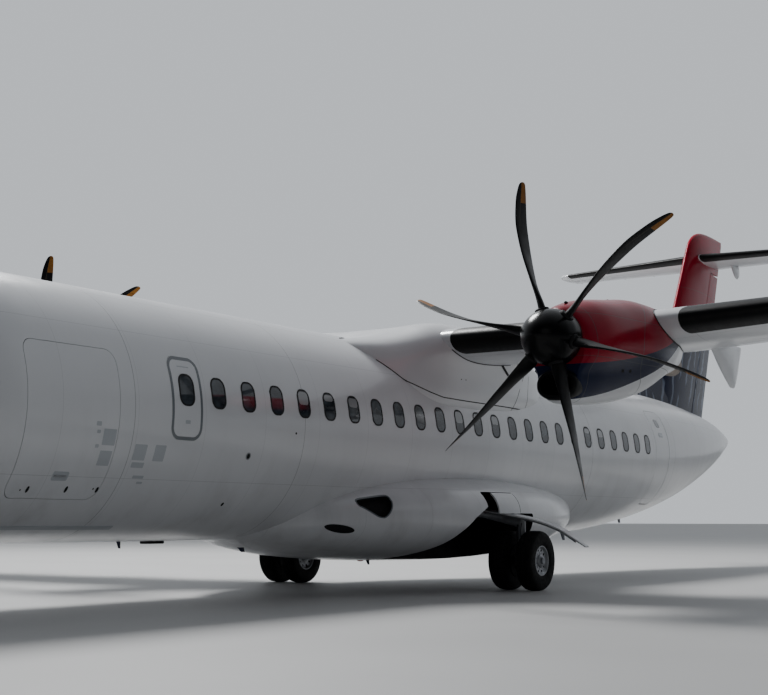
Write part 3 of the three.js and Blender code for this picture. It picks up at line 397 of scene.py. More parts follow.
class Body:
    """A rounded body along X from stations of x, half width, top and bottom.

    A shelf widens it at the wing's height, and a waist narrows its lower half.
    """

    def __init__(self, stations, power=2.0, y=0.0, shelf=None, waist=None):
        self.xs, *curves = np.array(stations, float).T
        self.half, self.top, self.bottom = (pchip(self.xs, c) for c in curves)
        self.power, self.y = power, y
        self.shelf, self.waist = (pchip(*zip(*t)) if t else None for t in (shelf, waist))

    def parts(self, x):
        top, bottom = self.top(x), self.bottom(x)
        return self.half(x), (top + bottom) / 2, (top - bottom) / 2

    def point(self, x, a, grow=0.0):
        """The point at x and angle a from the top, to port."""
        half, mid, tall = self.parts(x)
        s, c = np.sin(a), np.cos(a)
        e = 2 / self.power
        across, up = np.sign(s) * np.abs(s) ** e, np.sign(c) * np.abs(c) ** e
        if self.waist:
            low = np.clip(-up, 0, 1)
            ease = np.clip(low / 0.45, 0, 1) ** 2 * (3 - 2 * np.clip(low / 0.45, 0, 1))
            narrow = np.sign(s) * (1 - low ** 3.2) ** (1 / 3.2) * (1 - 0.3 * ease)
            across = across + (narrow - across) * self.waist(x) * (low > 0)
        y, z = (half + grow) * across, mid + (tall + grow) * up
        if self.shelf:
            y = y + self.shelf(x) * np.exp(-((z - SHELF_Z) / 0.27) ** 2) * np.tanh(y / 0.3)
            out = np.clip((np.abs(y) - 0.35) / 1.0, 0, 1)
            z = z + 0.45 * self.shelf(x) * out ** 2 * (3 - 2 * out) * np.clip((up - 0.45) / 0.4, 0, 1)
        return np.stack([x + 0 * a, self.y + y, z], -1)

    def core(self, x, a):
        return np.stack([x + 0 * a, self.y + 0 * a, self.parts(x)[1] + 0 * a], -1)

    def angle(self, x, z, side=1):
        """The angle at which the body's side reaches height z."""
        _, mid, tall = self.parts(x)
        c = np.clip((z - mid) / tall, -1, 1)
        return side * np.arccos(np.sign(c) * np.abs(c) ** (self.power / 2))

    def stations(self, step, front=None):
        """Stations from front to back, with every bend kept."""
        front, back = self.xs[0] if front is None else front, self.xs[-1]
        marks = sorted({front, back, *(b for b in self.xs if back < b < front)}, reverse=True)
        out = []
        for a, b in zip(marks, marks[1:]):
            count = math.ceil((a - b) / step)
            out += [a + (b - a) * i / count for i in range(count)]
        return np.array(out + [back])

    def rings(self, xs, sides, grow=0.0):
        a = circle(sides)
        return np.array([self.point(np.full(sides, x), a, grow) for x in xs])

    def solid(self, step, sides, grow=0.0, front=None):
        return loft(self.rings(self.stations(step, front), sides, grow))


class Side:
    """One side of a body, by x and height."""

    def __init__(self, body, side):
        self.body, self.side = body, side

    def point(self, x, z):
        return self.body.point(x, self.body.angle(x, z, self.side))

    def core(self, x, z):
        return self.body.core(x, 0 * z)


def lifted(surface, u, v, height):
    """Points on a surface, moved outwards by height."""
    u, v = np.broadcast_arrays(np.asarray(u, float), np.asarray(v, float))
    p, step = surface.point(u, v), 2e-3
    du = surface.point(u + step, v) - surface.point(u - step, v)
    dv = surface.point(u, v + step) - surface.point(u, v - step)
    n = np.cross(du, dv)
    n /= np.maximum(np.linalg.norm(n, axis=-1, keepdims=True), 1e-12)
    n *= np.where((n * (p - surface.core(u, v))).sum(-1, keepdims=True) < 0, -1.0, 1.0)
    return p + n * height


def band(surface, us, low, high, count, out, inn):
    """A closed shell on a surface between two curves."""
    us, low, high = (np.asarray(a, float) for a in (us, low, high))
    rows, n = len(us), len(us) * count
    u = np.repeat(us[:, None], count, 1)
    v = low[:, None] + (high - low)[:, None] * np.linspace(0, 1, count)[None]
    faces = grid(rows, count) + [f[::-1] for f in grid(rows, count, n)]
    rim = [*range(count), *(r * count + count - 1 for r in range(1, rows))]
    rim += [(rows - 1) * count + c for c in range(count - 2, -1, -1)] + [r * count for r in range(rows - 2, 0, -1)]
    faces += [(a, a + n, b + n, b) for a, b in zip(rim, rim[1:] + rim[:1])]
    return np.concatenate([lifted(surface, u, v, height).reshape(-1, 3) for height in (out, inn)]), faces


def patch(surface, u0, u1, v0, v1, radius, corner, count, out, inn, straight=2, grow=0.0):
    """A shell with rounded corners on a surface, and a margin all round."""
    u0, u1, v0, v1, radius = u0 - grow, u1 + grow, v0 - grow, v1 + grow, radius + grow
    ru = min(radius, (u1 - u0) / 2 - 1e-4)
    turn = np.linspace(0, PI / 2, corner)
    left, inset = u0 + ru * (1 - np.cos(turn)), ru * (1 - np.sin(turn))
    middle = np.linspace(u0 + ru, u1 - ru, straight + 1)[1:-1]
    us = np.concatenate([left, middle, (u1 + u0 - left)[::-1]])
    drop = np.concatenate([inset, 0 * middle, inset[::-1]])
    return band(surface, us, v0 + drop, v1 - drop, count, out, inn)


def outline(u0, u1, v0, v1, radius, corner=8):
    """Points round a rounded rectangle."""
    points = []
    for cu, cv, start in (
        (u1 - radius, v1 - radius, 0.0), (u0 + radius, v1 - radius, PI / 2),
        (u0 + radius, v0 + radius, PI), (u1 - radius, v0 + radius, PI * 1.5),
    ):
        for k in range(corner + 1):
            a = start + k / corner * PI / 2
            points.append((cu + radius * math.cos(a), cv + radius * math.sin(a)))
    return densify(points, 0.04)


def densify(path, step, order=None):
    """Adds points to a closed path, so that no stretch is longer than step."""
    path = np.asarray(path, float)
    out = []
    for a, b in zip(path, np.roll(path, -1, 0)):
        length = np.linalg.norm(b - a, order)
        if length > 1e-6:
            count = max(1, math.ceil(length / step))
            out += [a + (b - a) * i / count for i in range(count)]
    return np.array(out)


def ribbon(surface, path, width, out, inn, closed=False, v_scale=1.0):
    """A thin strip that follows a path on a surface."""
    path = np.asarray(path, float)
    n = len(path)
    ahead = np.roll(path, -1, 0) - np.roll(path, 1, 0)
    if not closed:
        ahead[0], ahead[-1] = path[1] - path[0], path[-1] - path[-2]
    ahead = ahead * [1.0, v_scale]
    ahead /= np.maximum(np.linalg.norm(ahead, axis=1, keepdims=True), 1e-12)
    across = np.stack([-ahead[:, 1], ahead[:, 0] / v_scale], 1) * width / 2
    corners = ((path + across, inn), (path + across, out), (path - across, out), (path - across, inn))
    rings = np.stack([lifted(surface, *edge.T, height) for edge, height in corners], 1)
    last = (n - 1) * 4
    ends = [(3, 2, 1, 0), tuple(range(last, last + 4))]
    if closed:
        ends = [(last + c, last + (c + 1) % 4, (c + 1) % 4, c) for c in range(4)]
    return rings.reshape(-1, 3), grid(n, 4, wrap=True) + ends


def disc(surface, u, v, radius, out, inn, stretch=1.0):
    a = np.linspace(PI, 0, 14)
    half = np.maximum(0.0015, radius * stretch * np.sin(a))
    return band(surface, u + radius * np.cos(a), v - half, v + half, 6, out, inn)


def revolve(profile, axis, centre, sides):
    """A body of revolution from (radius, along) pairs; it closes on the axis or on itself."""
    profile = np.asarray(profile, float)
    a, rows = circle(sides), len(profile)
    r, t = profile[:, :1], profile[:, 1:]
    c, s, along = r * np.cos(a), r * np.sin(a), t + 0 * a
    points = np.stack([along, c, s] if axis == "X" else [s, along, c], -1) + np.asarray(centre, float)
    faces = grid(rows, sides, wrap=True)
    if not np.allclose(profile[0], profile[-1]):
        if profile[0, 0] > 1e-9:
            faces.append(tuple(range(sides))[::-1])
        if profile[-1, 0] > 1e-9:
            faces.append(tuple(range((rows - 1) * sides, rows * sides)))
    return points.reshape(-1, 3), faces


def tube(points, radii, sides=12):
    """A round bar along a line of points."""
    points = np.asarray(points, float)
    radii = np.broadcast_to(np.asarray(radii, float), (len(points),))
    a, rings, normal = circle(sides), [], None
    for i, p in enumerate(points):
        ahead = points[min(i + 1, len(points) - 1)] - points[max(i - 1, 0)]
        ahead /= np.linalg.norm(ahead)
        if normal is None:
            normal = np.cross(ahead, [0, 0, 1.0] if abs(ahead[2]) < 0.9 else [1.0, 0, 0])
        normal = normal - ahead * (normal @ ahead)
        normal /= np.linalg.norm(normal)
        other = np.cross(ahead, normal)
        rings.append(p + radii[i] * (np.outer(np.cos(a), normal) + np.outer(np.sin(a), other)))
    return loft(rings)


def slab(x0, x1, y0, y1, z0, z1, bevel=0.004):
    """A block with chamfered edges."""
    b = min(bevel, (x1 - x0) / 3, (y1 - y0) / 3, (z1 - z0) / 3)
    rings = []
    for x, inset in ((x0, b), (x0 + b, 0.0), (x1 - b, 0.0), (x1, b)):
        left, right, low, high = y0 + inset, y1 - inset, z0 + inset, z1 - inset
        rings.append([(x, y, z) for y, z in (
            (left + b, low), (right - b, low), (right, low + b), (right, high - b),
            (right - b, high), (left + b, high), (left, high - b), (left, low + b))])
    return loft(rings)


def lens(place, radii, rows=9, sides=20):
    """A small rounded lamp."""
    b, rings = circle(sides), []
    for a in np.arange(1, rows) / rows * PI:
        ring = np.stack([np.full(sides, math.cos(a)), math.sin(a) * np.cos(b), math.sin(a) * np.sin(b)], -1)
        rings.append(np.asarray(place) + ring * radii)
    return loft(rings)


# ---- Fuselage ----
FUSELAGE = Body([
    (13.585, 0.05, 1.9, 1.8), (13.545, 0.13, 1.975, 1.72), (13.48, 0.215, 2.06, 1.63),
    (13.2, 0.44, 2.265, 1.415), (12.7, 0.73, 2.52, 1.185), (12.2, 0.945, 2.76, 1.03),
    (11.7, 1.115, 3.09, 0.92), (11.2, 1.245, 3.37, 0.84), (10.7, 1.345, 3.53, 0.78),
    (10.25, 1.4325, 3.6, 0.735), (-2.6, 1.4325, 3.6, 0.735), (-4.5, 1.408, 3.6, 0.8),
    (-6.5, 1.315, 3.595, 0.995), (-8.5, 1.125, 3.55, 1.32), (-10.2, 0.88, 3.45, 1.72),
    (-11.6, 0.62, 3.31, 2.13), (-12.7, 0.35, 3.125, 2.5), (-13.3, 0.18, 2.99, 2.72),
    (-13.585, 0.05, 2.91, 2.83),
])
SKIN = {side: Side(FUSELAGE, side) for side, _ in SIDES}
# The tail's ends reach no further back than this x
REAR_END = -13.583
# Wheel bays: rear x and top of the low part and of the side part, then front x and both y
BAYS, BAY_FRONT, BAY_Y = ((0.43, 1.1), (0.86, 1.4)), 1.8, (0.7, 2.3)
# The slanted front edge of the bays in the belly pod: x, z
BAY_EDGE = [
    (1.78, 0.1), (1.78, 1.19), (1.84, 1.17), (2.13, 1.03), (2.43, 0.82), (2.61, 0.655), (2.75, 0.55),
    (2.96, 0.38), (2.96, 0.1),
]
# Doors in the skin: name, side, rear x, front x, sill, head, whether it opens
DOORS = [
    ("cargo_door", 1, 8.875, 10.15, 1.2, 2.73, True),
    ("passenger_door", 1, -6.6, -5.85, 1.32, 3.07, True),
    ("service_door", -1, -6.56, -5.95, 1.42, 2.64, False),
    ("emergency_exit_left", 1, 7.545, 8.055, 1.855, 2.765, False),
    ("emergency_exit_right", -1, 7.545, 8.055, 1.855, 2.765, False),
]
DOOR_RADIUS = 0.13


def cut_bays(obj):
    """Opens the wheel bays: the whole length below, and less of it higher up."""
    for x0, top in BAYS:
        boxes = [slab(x0, BAY_FRONT, *sorted(side * y for y in BAY_Y), 0.1, top, 0.03) for side, _ in SIDES]
        # The walls take the near-black dark finish: painted shade inside the bays.
        cut(obj, boxes, "dark")
    if obj.name == "belly_pod":
        for side, _ in SIDES:
            # The slanted front walls are near black too: painted shade.
            cut(obj, loft([[(x, y * side, z) for x, z in BAY_EDGE] for y in (0.75, 2.3)]), "dark")


def build_fuselage():
    xs = FUSELAGE.stations(0.3)
    fine = xs[xs > 10.4]
    xs = np.unique(np.concatenate([xs, (fine[1:] + fine[:-1]) / 2]))[::-1]
    skin = build("fuselage_skin", loft(FUSELAGE.rings(xs, 96)), "white", loose=True)
    holes = []
    # The openings are a little larger than their panels, most of all at the airstair's rear edge
    for name, side, x0, x1, z0, z1, opens in DOORS:
        slack = 0.012 if name == "passenger_door" else 0
        depth, margin = (-0.32, 0.01) if opens else (-0.05, 0.004)
        holes.append(patch(SKIN[side], x0 - slack, x1, z0, z1, DOOR_RADIUS, 9, 24, 0.06, depth, 8, margin))
    cut(skin, holes, "white_plain")
    # The rear cabin lies inside the skin all round
    cabin = FUSELAGE.rings(np.linspace(-3.2, -6.75, 14), 72, -0.12)
    cabin[:, :, 2] = np.clip(cabin[:, :, 2], 1.33, 3.2)
    hold = slab(8.865, 10.16, 0.35, 0.95, 1.19, 2.67, 0.02)
    nose_bay = slab(11.15, 12.65, -0.3, 0.3, 0.4, 1.5, 0.02)
    cut(skin, [hold, nose_bay, loft(cabin)], "cabin")
    cut_bays(skin)
    dress(skin, replaces=(
        "radome", "fuselage_nose", "fuselage_forward", "fuselage_centre", "fuselage_aft", "tail_cone"))
    for name, side, x0, x1, z0, z1, opens in DOORS:
        sill = z0 + (0.008 if name == "passenger_door" else 0)
        panel = patch(SKIN[side], x0, x1, sill, z1, DOOR_RADIUS, 9, 24, 0.0, -0.045, 8, 0.003 if opens else 0.001)
        build(name + "_panel", panel, "white", name if opens else "airframe", (name,))


# Cabin windows: first x, pitch, middle height, half width, half height, corner radius
WINDOW_X, WINDOW_PITCH, WINDOW_Z, WINDOW_W, WINDOW_H, WINDOW_R = 7.8, 0.549, 2.4, 0.1175, 0.1675, 0.095
# How far each blind is drawn, in turn
BLINDS = (0.0, 0.0, 0.12, 0.0, 0.08, 0.0, 0.16)


def build_windows():
    for side, word in SIDES:
        frames, panes, blinds = [], [], []
        # The port side has one window more
        for i in range(25 if side > 0 else 24):
            x = WINDOW_X - i * WINDOW_PITCH
            x0, x1, z0, z1 = x - WINDOW_W, x + WINDOW_W, WINDOW_Z - WINDOW_H, WINDOW_Z + WINDOW_H
            path = outline(x0, x1, z0, z1, WINDOW_R)
            frames.append(ribbon(SKIN[side], path, 0.02, 0.004, -0.006, closed=True))
            panes.append(patch(SKIN[side], x0, x1, z0, z1, WINDOW_R, 7, 10, 0.0015, -0.006))
            drop = BLINDS[(i * 5 + (side < 0) * 3) % 7]
            if drop:
                top = z1 - 0.022
                blinds.append(patch(SKIN[side], x0 + 0.02, x1 - 0.02, top - drop, top, 0.045, 6, 5, 0.0021, -0.004))
        build(f"window_frames_{word}", frames, "seal")
        build(f"window_panes_{word}", panes, "glass")
        build(f"window_blinds_{word}", blinds, "blind")


# ---- Fairings ----
HUMP = Body([
    (3.98, 0.42, 3.43, 3.0), (3.7, 0.76, 3.47, 2.85), (3.4, 0.99, 3.515, 2.65),
    (2.9, 1.24, 3.585, 2.45), (2.5, 1.37, 3.67, 2.39), (2.2, 1.43, 3.77, 2.36),
    (1.9, 1.455, 3.825, 2.35), (1.3, 1.46, 3.845, 2.35), (0.3, 1.43, 3.81, 2.37),
    (-0.3, 1.38, 3.74, 2.43), (-0.9, 1.3, 3.62, 2.56), (-1.3, 1.19, 3.56, 2.7),
    (-1.6, 1.02, 3.5, 2.88), (-1.85, 0.7, 3.46, 3.01), (-2.0, 0.3, 3.43, 3.1),
], 3.4, shelf=[
    (3.98, 0.0), (3.2, 0.02), (2.9, 0.06), (2.6, 0.12), (2.35, 0.18), (2.0, 0.21),
    (0.2, 0.18), (-0.2, 0.1), (-0.8, 0.02), (-1.4, 0.0),
])
# The seam at the hump's foot: x, z
HUMP_FOOT = pchip(*zip(
    (3.72, 3.33), (3.54, 3.14), (3.3, 3.03), (3.02, 2.94), (2.38, 2.76), (2.14, 2.725),
    (1.26, 2.715), (-0.34, 2.72), (-1.0, 2.75), (-1.5, 2.825)))
BELLY = Body([
    (5.85, 0.2, 1.05, 0.76), (5.45, 0.5, 1.12, 0.725), (4.7, 1.13, 1.43, 0.6),
    (3.7, 1.58, 1.6, 0.48), (2.5, 1.84, 1.69, 0.42), (1.1, 1.92, 1.72, 0.405),
    (-0.3, 1.84, 1.68, 0.45), (-1.5, 1.56, 1.6, 0.59), (-2.4, 1.15, 1.48, 0.74),
    (-3.05, 0.64, 1.3, 0.85), (-3.4, 0.3, 1.2, 0.92),
], 2.5)
# Air inlet on the belly: x, low z, high z
DUCT_X, DUCT_LOW, DUCT_HIGH = zip(
    (4.28, 1.2, 1.24), (4.265, 1.178, 1.255), (4.22, 1.155, 1.268), (4.1, 1.085, 1.286),
    (3.99, 1.032, 1.3), (3.93, 1.025, 1.307), (3.87, 1.055, 1.313), (3.81, 1.125, 1.316),
    (3.775, 1.19, 1.312), (3.76, 1.24, 1.29))


def build_hump():
    build("wing_fairing", HUMP.solid(0.12, 110), "white_plain", replaces=("wing_fuselage_fairing",))
    for side, word in SIDES:
        surface, path, crest = Side(HUMP, side), [], []
        for x in np.linspace(3.84, -1.5, 110):
            foot = float(HUMP_FOOT(min(x, 3.72)))
            zs = np.linspace(foot, min(3.56, float(HUMP.top(x)) - 0.012), 60)
            proud = surface.point(x + 0 * zs, zs)[:, 1] - SKIN[side].point(x + 0 * zs, zs)[:, 1]
            hidden = np.nonzero(proud * side < 0)[0]
            if len(hidden) > 56:
                continue
            if len(hidden) and x > 2.0:
                crest.append(SKIN[side].point(x, min(zs[hidden[-1]] + 0.004, 3.54)))
            else:
                path.append((x, foot))
        if crest:
            crest.append(surface.point(*path[0]))
        marks = [ribbon(surface, path, 0.014, 0.0015, -0.004)]
        if len(crest) > 2:
            marks.append(tube(crest, 0.009, 8))
        rear = [(x, 2.68 + (x - 0.02) * -1.75) for x in np.linspace(0.02, -0.42, 24)]
        bracket = [(x, 3.36 + (x - 0.88) * 0.35) for x in np.linspace(0.88, 0.38, 16)]
        upright = [(-0.53, z) for z in np.linspace(3.25, 2.73, 16)]
        marks.append(ribbon(surface, rear, 0.01, 0.0015, -0.004))
        spots = ((2.05, 3.078), (1.79, 3.019), (1.66, 3.022))
        marks += [disc(surface, x, z, 0.018, 0.002, -0.006) for x, z in spots]
        marks.append(ribbon(surface, bracket, 0.03, 0.01, -0.004))
        marks.append(ribbon(surface, upright, 0.008, 0.0015, -0.004))
        build(f"wing_fairing_seam_{word}", marks, "seal")


def build_belly():
    pod = build("belly_pod", BELLY.solid(0.16, 96), "white", loose=True)
    us = np.concatenate([np.linspace(3.76, 3.82, 7), np.linspace(3.84, 4.22, 14), np.linspace(4.24, 4.28, 5)])
    low, high = pchip(DUCT_X, DUCT_LOW)(us), pchip(DUCT_X, DUCT_HIGH)(us)
    a = np.linspace(PI, 0, 26)
    oval = 4.52 + 0.2 * np.cos(a)
    middle, half = 0.884 + (oval - 4.52) * 0.14, np.maximum(0.004, 0.05 * np.sin(a))
    ducts, rims, vents = [], [], []
    for side, _ in SIDES:
        surface = Side(BELLY, side)
        ducts.append(band(surface, us, low, high, 12, 0.05, -0.075))
        rims.append(ribbon(surface, [*zip(us, low)] + [*zip(us, high)][::-1], 0.016, 0.003, -0.006, closed=True))
        vents.append(band(surface, oval, middle - half, middle + half, 8, 0.004, -0.008))
    # The inlets' walls are near black: painted shade in the recesses.
    cut(pod, ducts, "dark")
    cut_bays(pod)
    dress(pod, replaces=("belly_fairing",))
    build("belly_duct_rims", rims, "grey_line")
    build("belly_oval_vents", vents, "dark")


build_fuselage()
build_windows()
build_hump()
build_belly()


# ---- Wings and tail ----
class Foil:
    """A wing or fin between two stations, by span (0 to 1) and signed root of the chord fraction."""

    def __init__(self, le0, le1, chord, thick, incidence=0.0, upright=False):
        self.le = np.array(le0, float), np.array(le1, float)
        self.chord, self.thick = chord, thick
        self.cos, self.sin = math.cos(incidence), math.sin(incidence)
        self.upright = upright

    def at(self, s):
        """Leading edge, chord and thickness at a span."""
        s = np.asarray(s, float)
        return (a + (b - a) * t for (a, b), t in ((self.le, s[..., None]), (self.chord, s), (self.thick, s)))

    def place(self, s, f, h):
        """The point at chord fraction f and height h, in metres off the chord line."""
        le, chord, _ = self.at(s)
        along = f * chord
        if self.upright:
            return le + np.stack([-along, h + 0 * along, 0 * along], -1)
        return le + np.stack([-along * self.cos, 0 * along, h - along * self.sin], -1)

    def height(self, s, f):
        _, chord, thick = self.at(s)
        root = 0.2969 * np.sqrt(f) - 0.126 * f - 0.3516 * f * f
        return 5 * thick * (root + 0.2843 * f ** 3 - 0.1015 * f ** 4) * chord

    def point(self, s, v):
        s, v = np.broadcast_arrays(np.asarray(s, float), np.asarray(v, float))
        return self.place(s, v * v, np.sign(v) * self.height(s, v * v))

    def core(self, s, v):
        s, v = np.broadcast_arrays(np.asarray(s, float), np.asarray(v, float))
        return self.place(s, v * v + 0.02, 0 * v)

    def hinge(self, s, fraction):
        return self.place(s, fraction, 0.0), float(self.height(s, fraction))


ROOTS = np.concatenate([np.linspace(0, 0.25, 11), np.linspace(0.25, 0.84, 16)[1:]])
LIP = 0.004


def foil_ring(foil, s, hinge=None):
    """A section. With a hinge it ends in two lips round the slot of the moving surface."""
    v = np.concatenate([ROOTS, np.linspace(0.84, 1.0, 7)[1:]])
    if hinge:
        _, chord, _ = foil.at(s)
        front, end = hinge - (foil.hinge(s, hinge)[1] + 0.01) / float(chord), hinge - 0.017
        v = np.concatenate([ROOTS[ROOTS < math.sqrt(front) - 0.01], [math.sqrt(front), math.sqrt(end)]])
    f = v * v
    h = foil.height(s, f)
    ring = [foil.place(s, f[::-1], h[::-1]), foil.place(s, f[1:], -h[1:])]
    if hinge:
        f = np.array([end, front, front, end])
        ring.append(foil.place(s, f, (foil.height(s, f) - LIP) * [-1, -1, 1, 1]))
    return np.concatenate(ring)


def moving_ring(foil, s, hinge):
    """A hinged surface: a half-round nose about its hinge, then the section's own sides."""
    centre, radius = foil.hinge(s, hinge)
    f = np.linspace(1.0, hinge, 7)[:-1]
    h = foil.height(s, f)
    a = np.linspace(0, PI, 17)
    side = [0, 1.0, 0] if foil.upright else [0, 0, 1.0]
    nose = centre + np.outer(np.cos(a) * radius, side) + np.outer(np.sin(a) * radius, [1.0, 0, 0])
    return np.concatenate([foil.place(s, f, h), nose, foil.place(s, f[::-1], -h[::-1])])


def shell(foil, s0, s1, ring, hinge=None):
    return loft([ring(foil, s, hinge) for s in (s0, s1)])


def turns(count):
    """Angles from 0 to just short of a quarter turn."""
    return [k / (count - 1) * PI / 2 * 0.97 for k in range(count)]


def tip_cap(foil, s, reach, outward):
    """A rounded end for a foil at span s, reaching a little further out."""
    ring = foil_ring(foil, s)
    le, chord, _ = foil.at(s)
    middle = foil.place(s, np.linalg.norm(ring - le, axis=1) / chord, 0 * ring[:, 0])
    pivot = foil.place(s, 0.62, 0.0)
    rings = []
    for a in turns(9):
        flat = middle + (ring - middle) * max(0.03, math.cos(a))
        shrunk = (flat - pivot) * (1 - 0.22 * (1 - math.cos(a)))
        rings.append(pivot + shrunk + np.array(outward) * reach * math.sin(a))
    return loft(rings)


def swept_end(foil, start, reach, count, nose, axis, thin, fade):
    """Sections whose leading edge sweeps back and whose thickness fades out along axis."""
    rings = []
    for a in turns(count):
        span = start + reach * math.sin(a)
        ring = foil_ring(foil, span)
        le, chord, _ = foil.at(span)
        rear = le[0] - chord
        ring[:, 0] = np.maximum(rear + (ring[:, 0] - rear) * (1 - nose * (1 - math.cos(a)) ** 1.3), REAR_END)
        ring[:, axis] = le[axis] + (ring[:, axis] - le[axis]) * max(thin, math.cos(a) ** fade)
        rings.append(ring)
    return rings


WING_ANGLE, RISE = math.radians(2.2), math.tan(math.radians(2.5))
BREAK_Y, TIP_Y, TIP_START = 4.3, 13.525, 13.33
HINGE, TAIL_HINGE, FIN_HINGE = 0.72, 0.66, 0.69
SIDE_GAP = 0.014
# Wing surfaces: name, inner y, outer y, flap fairings' y
SURFACES = [
    ("flap_inner", 1.64, 3.7, (3.15,)), ("flap_outer", 4.36, 9.62, (4.61, 6.9, 9.3)),
    ("aileron", 9.72, 13.3, ()),
]
# Flap fairing stations from the hinge line: x, bottom, top, half width
FAIRING = np.array([
    (-0.06, -0.11, -0.07, 0.01), (-0.14, -0.15, -0.055, 0.034), (-0.5, -0.405, 0.005, 0.078),
    (-0.78, -0.57, 0.02, 0.08), (-0.85, -0.605, 0.021, 0.076), (-0.99, -0.605, 0.022, 0.062),
    (-1.06, -0.55, 0.024, 0.055), (-1.19, -0.29, 0.026, 0.04), (-1.32, -0.03, 0.02, 0.012),
])
FIN = Foil((-8.913, 0, 3.05), (-11.17, 0, 6.9), (3.032, 2.18), (0.11, 0.12), upright=True)
TAIL_Y, ELEVATOR_Y, HORN_Y = 3.655, 0.15, 3.36
RUDDER_TOP, FIN_HEIGHT = 0.959, 3.85


def tail_half(side):
    return Foil((-11.65, 0, 7.0), (-12.27, side * TAIL_Y, 7.0), (1.9, 1.15), (0.12, 0.11))


def outer_span(y):
    return (y - BREAK_Y) / (TIP_Y - BREAK_Y)


def wing_parts(side):
    root, tip = (2.35, side * BREAK_Y, 3.53), (1.9, side * TIP_Y, 3.53 + (TIP_Y - BREAK_Y) * RISE)
    inner = Foil((2.35, 0, 3.53), root, (2.57, 2.57), (0.18, 0.18), WING_ANGLE)
    return inner, Foil(root, tip, (2.57, 1.59), (0.18, 0.13), WING_ANGLE)


def wing_at(side, y):
    """The foil that holds the place y, and its span there."""
    inner, outer = wing_parts(side)
    return (inner, y / BREAK_Y) if y <= BREAK_Y else (outer, outer_span(y))


def track_fairing(foil, s):
    centre, _ = foil.hinge(s, HINGE)
    _, chord, _ = foil.at(s)
    xs = np.linspace(FAIRING[0, 0], FAIRING[-1, 0], 26)
    a = circle(20)
    up = (1 + np.cos(a)) / 2
    rings = []
    for x, b, t, w in zip(xs, *(pchip(FAIRING[:, 0], FAIRING[:, i])(xs) for i in (1, 2, 3))):
        wide = w * np.sin(a) * (0.34 + 0.66 * np.sqrt(np.clip(up, 0, 1)))
        rings.append(centre + float(chord) / 2.57 * np.stack([np.full(20, x), wide, b + (t - b) * up], -1))
    return loft(rings)


def boot(foil, s0, s1, low, high, radius):
    """A rubber boot on a leading edge, between two signed roots, with rounded ends."""
    reach = radius / np.linalg.norm(foil.le[1] - foil.le[0])
    turn = np.linspace(0.05, PI / 2, 9)
    start, shape = s0 + reach * (1 - np.cos(turn)), np.sin(turn) ** 0.5
    us = np.concatenate([start, np.linspace(s0 + reach, s1 - reach, 8)[1:-1], (s1 + s0 - start)[::-1]])
    width = (high - low) / 2 * np.concatenate([shape, np.ones(6), shape[::-1]])
    return band(foil, us, (low + high) / 2 - width, (low + high) / 2 + width, 33, 0.0022, -0.003)


def build_wings():
    centre, boots = [], []
    (_, a0, a1, _), (_, b0, b1, _), (_, c0, c1, _) = SURFACES
    for side, word in SIDES:
        inner, outer = wing_parts(side)
        stops = [0.0] + [v / BREAK_Y for v in (a0 - SIDE_GAP, a1 + SIDE_GAP, BREAK_Y)]
        for i, (a, b) in enumerate(zip(stops, stops[1:])):
            centre.append(shell(inner, a, b, foil_ring, HINGE if i == 1 else None))
        marks = [BREAK_Y, b0 - SIDE_GAP, b1 + SIDE_GAP, c0 - SIDE_GAP, c1 + SIDE_GAP, TIP_START]
        spans = [outer_span(m) for m in marks]
        parts = [shell(outer, a, b, foil_ring, HINGE if i in (1, 3) else None)
                 for i, (a, b) in enumerate(zip(spans, spans[1:]))]
        parts.append(tip_cap(outer, spans[-1], 0.185, (0, side, RISE)))
        build(f"wing_skin_{word}", parts, "white_wing", replaces=(f"wing_outer_{word}",), weld=False)
        boots.append(boot(inner, 1.6 / BREAK_Y, 3.62 / BREAK_Y, -0.33, 0.3, 0.12))
        boots.append(boot(outer, outer_span(4.855), outer_span(12.95), -0.33, 0.3, 0.085))
        for name, y0, y1, tracks in SURFACES:
            foil, s0 = wing_at(side, y0)
            data = [shell(foil, s0, wing_at(side, y1)[1], moving_ring, HINGE)]
            data += [track_fairing(*wing_at(side, y)) for y in tracks]
            build(f"{name}_skin_{word}", data, "white_wing", f"{name}_{word}", (f"{name}_{word}",), weld=False)
        lamp = lens(outer.place(0.985, 0.075, 0.0), (0.1, 0.05, 0.03))
        build(f"tip_lamp_{word}", lamp, "lamp_red" if side > 0 else "lamp_green")
    build("wing_centre_skin", centre, "white_wing", replaces=("wing_centre",), weld=False)
    build("wing_boots", boots, "boot")


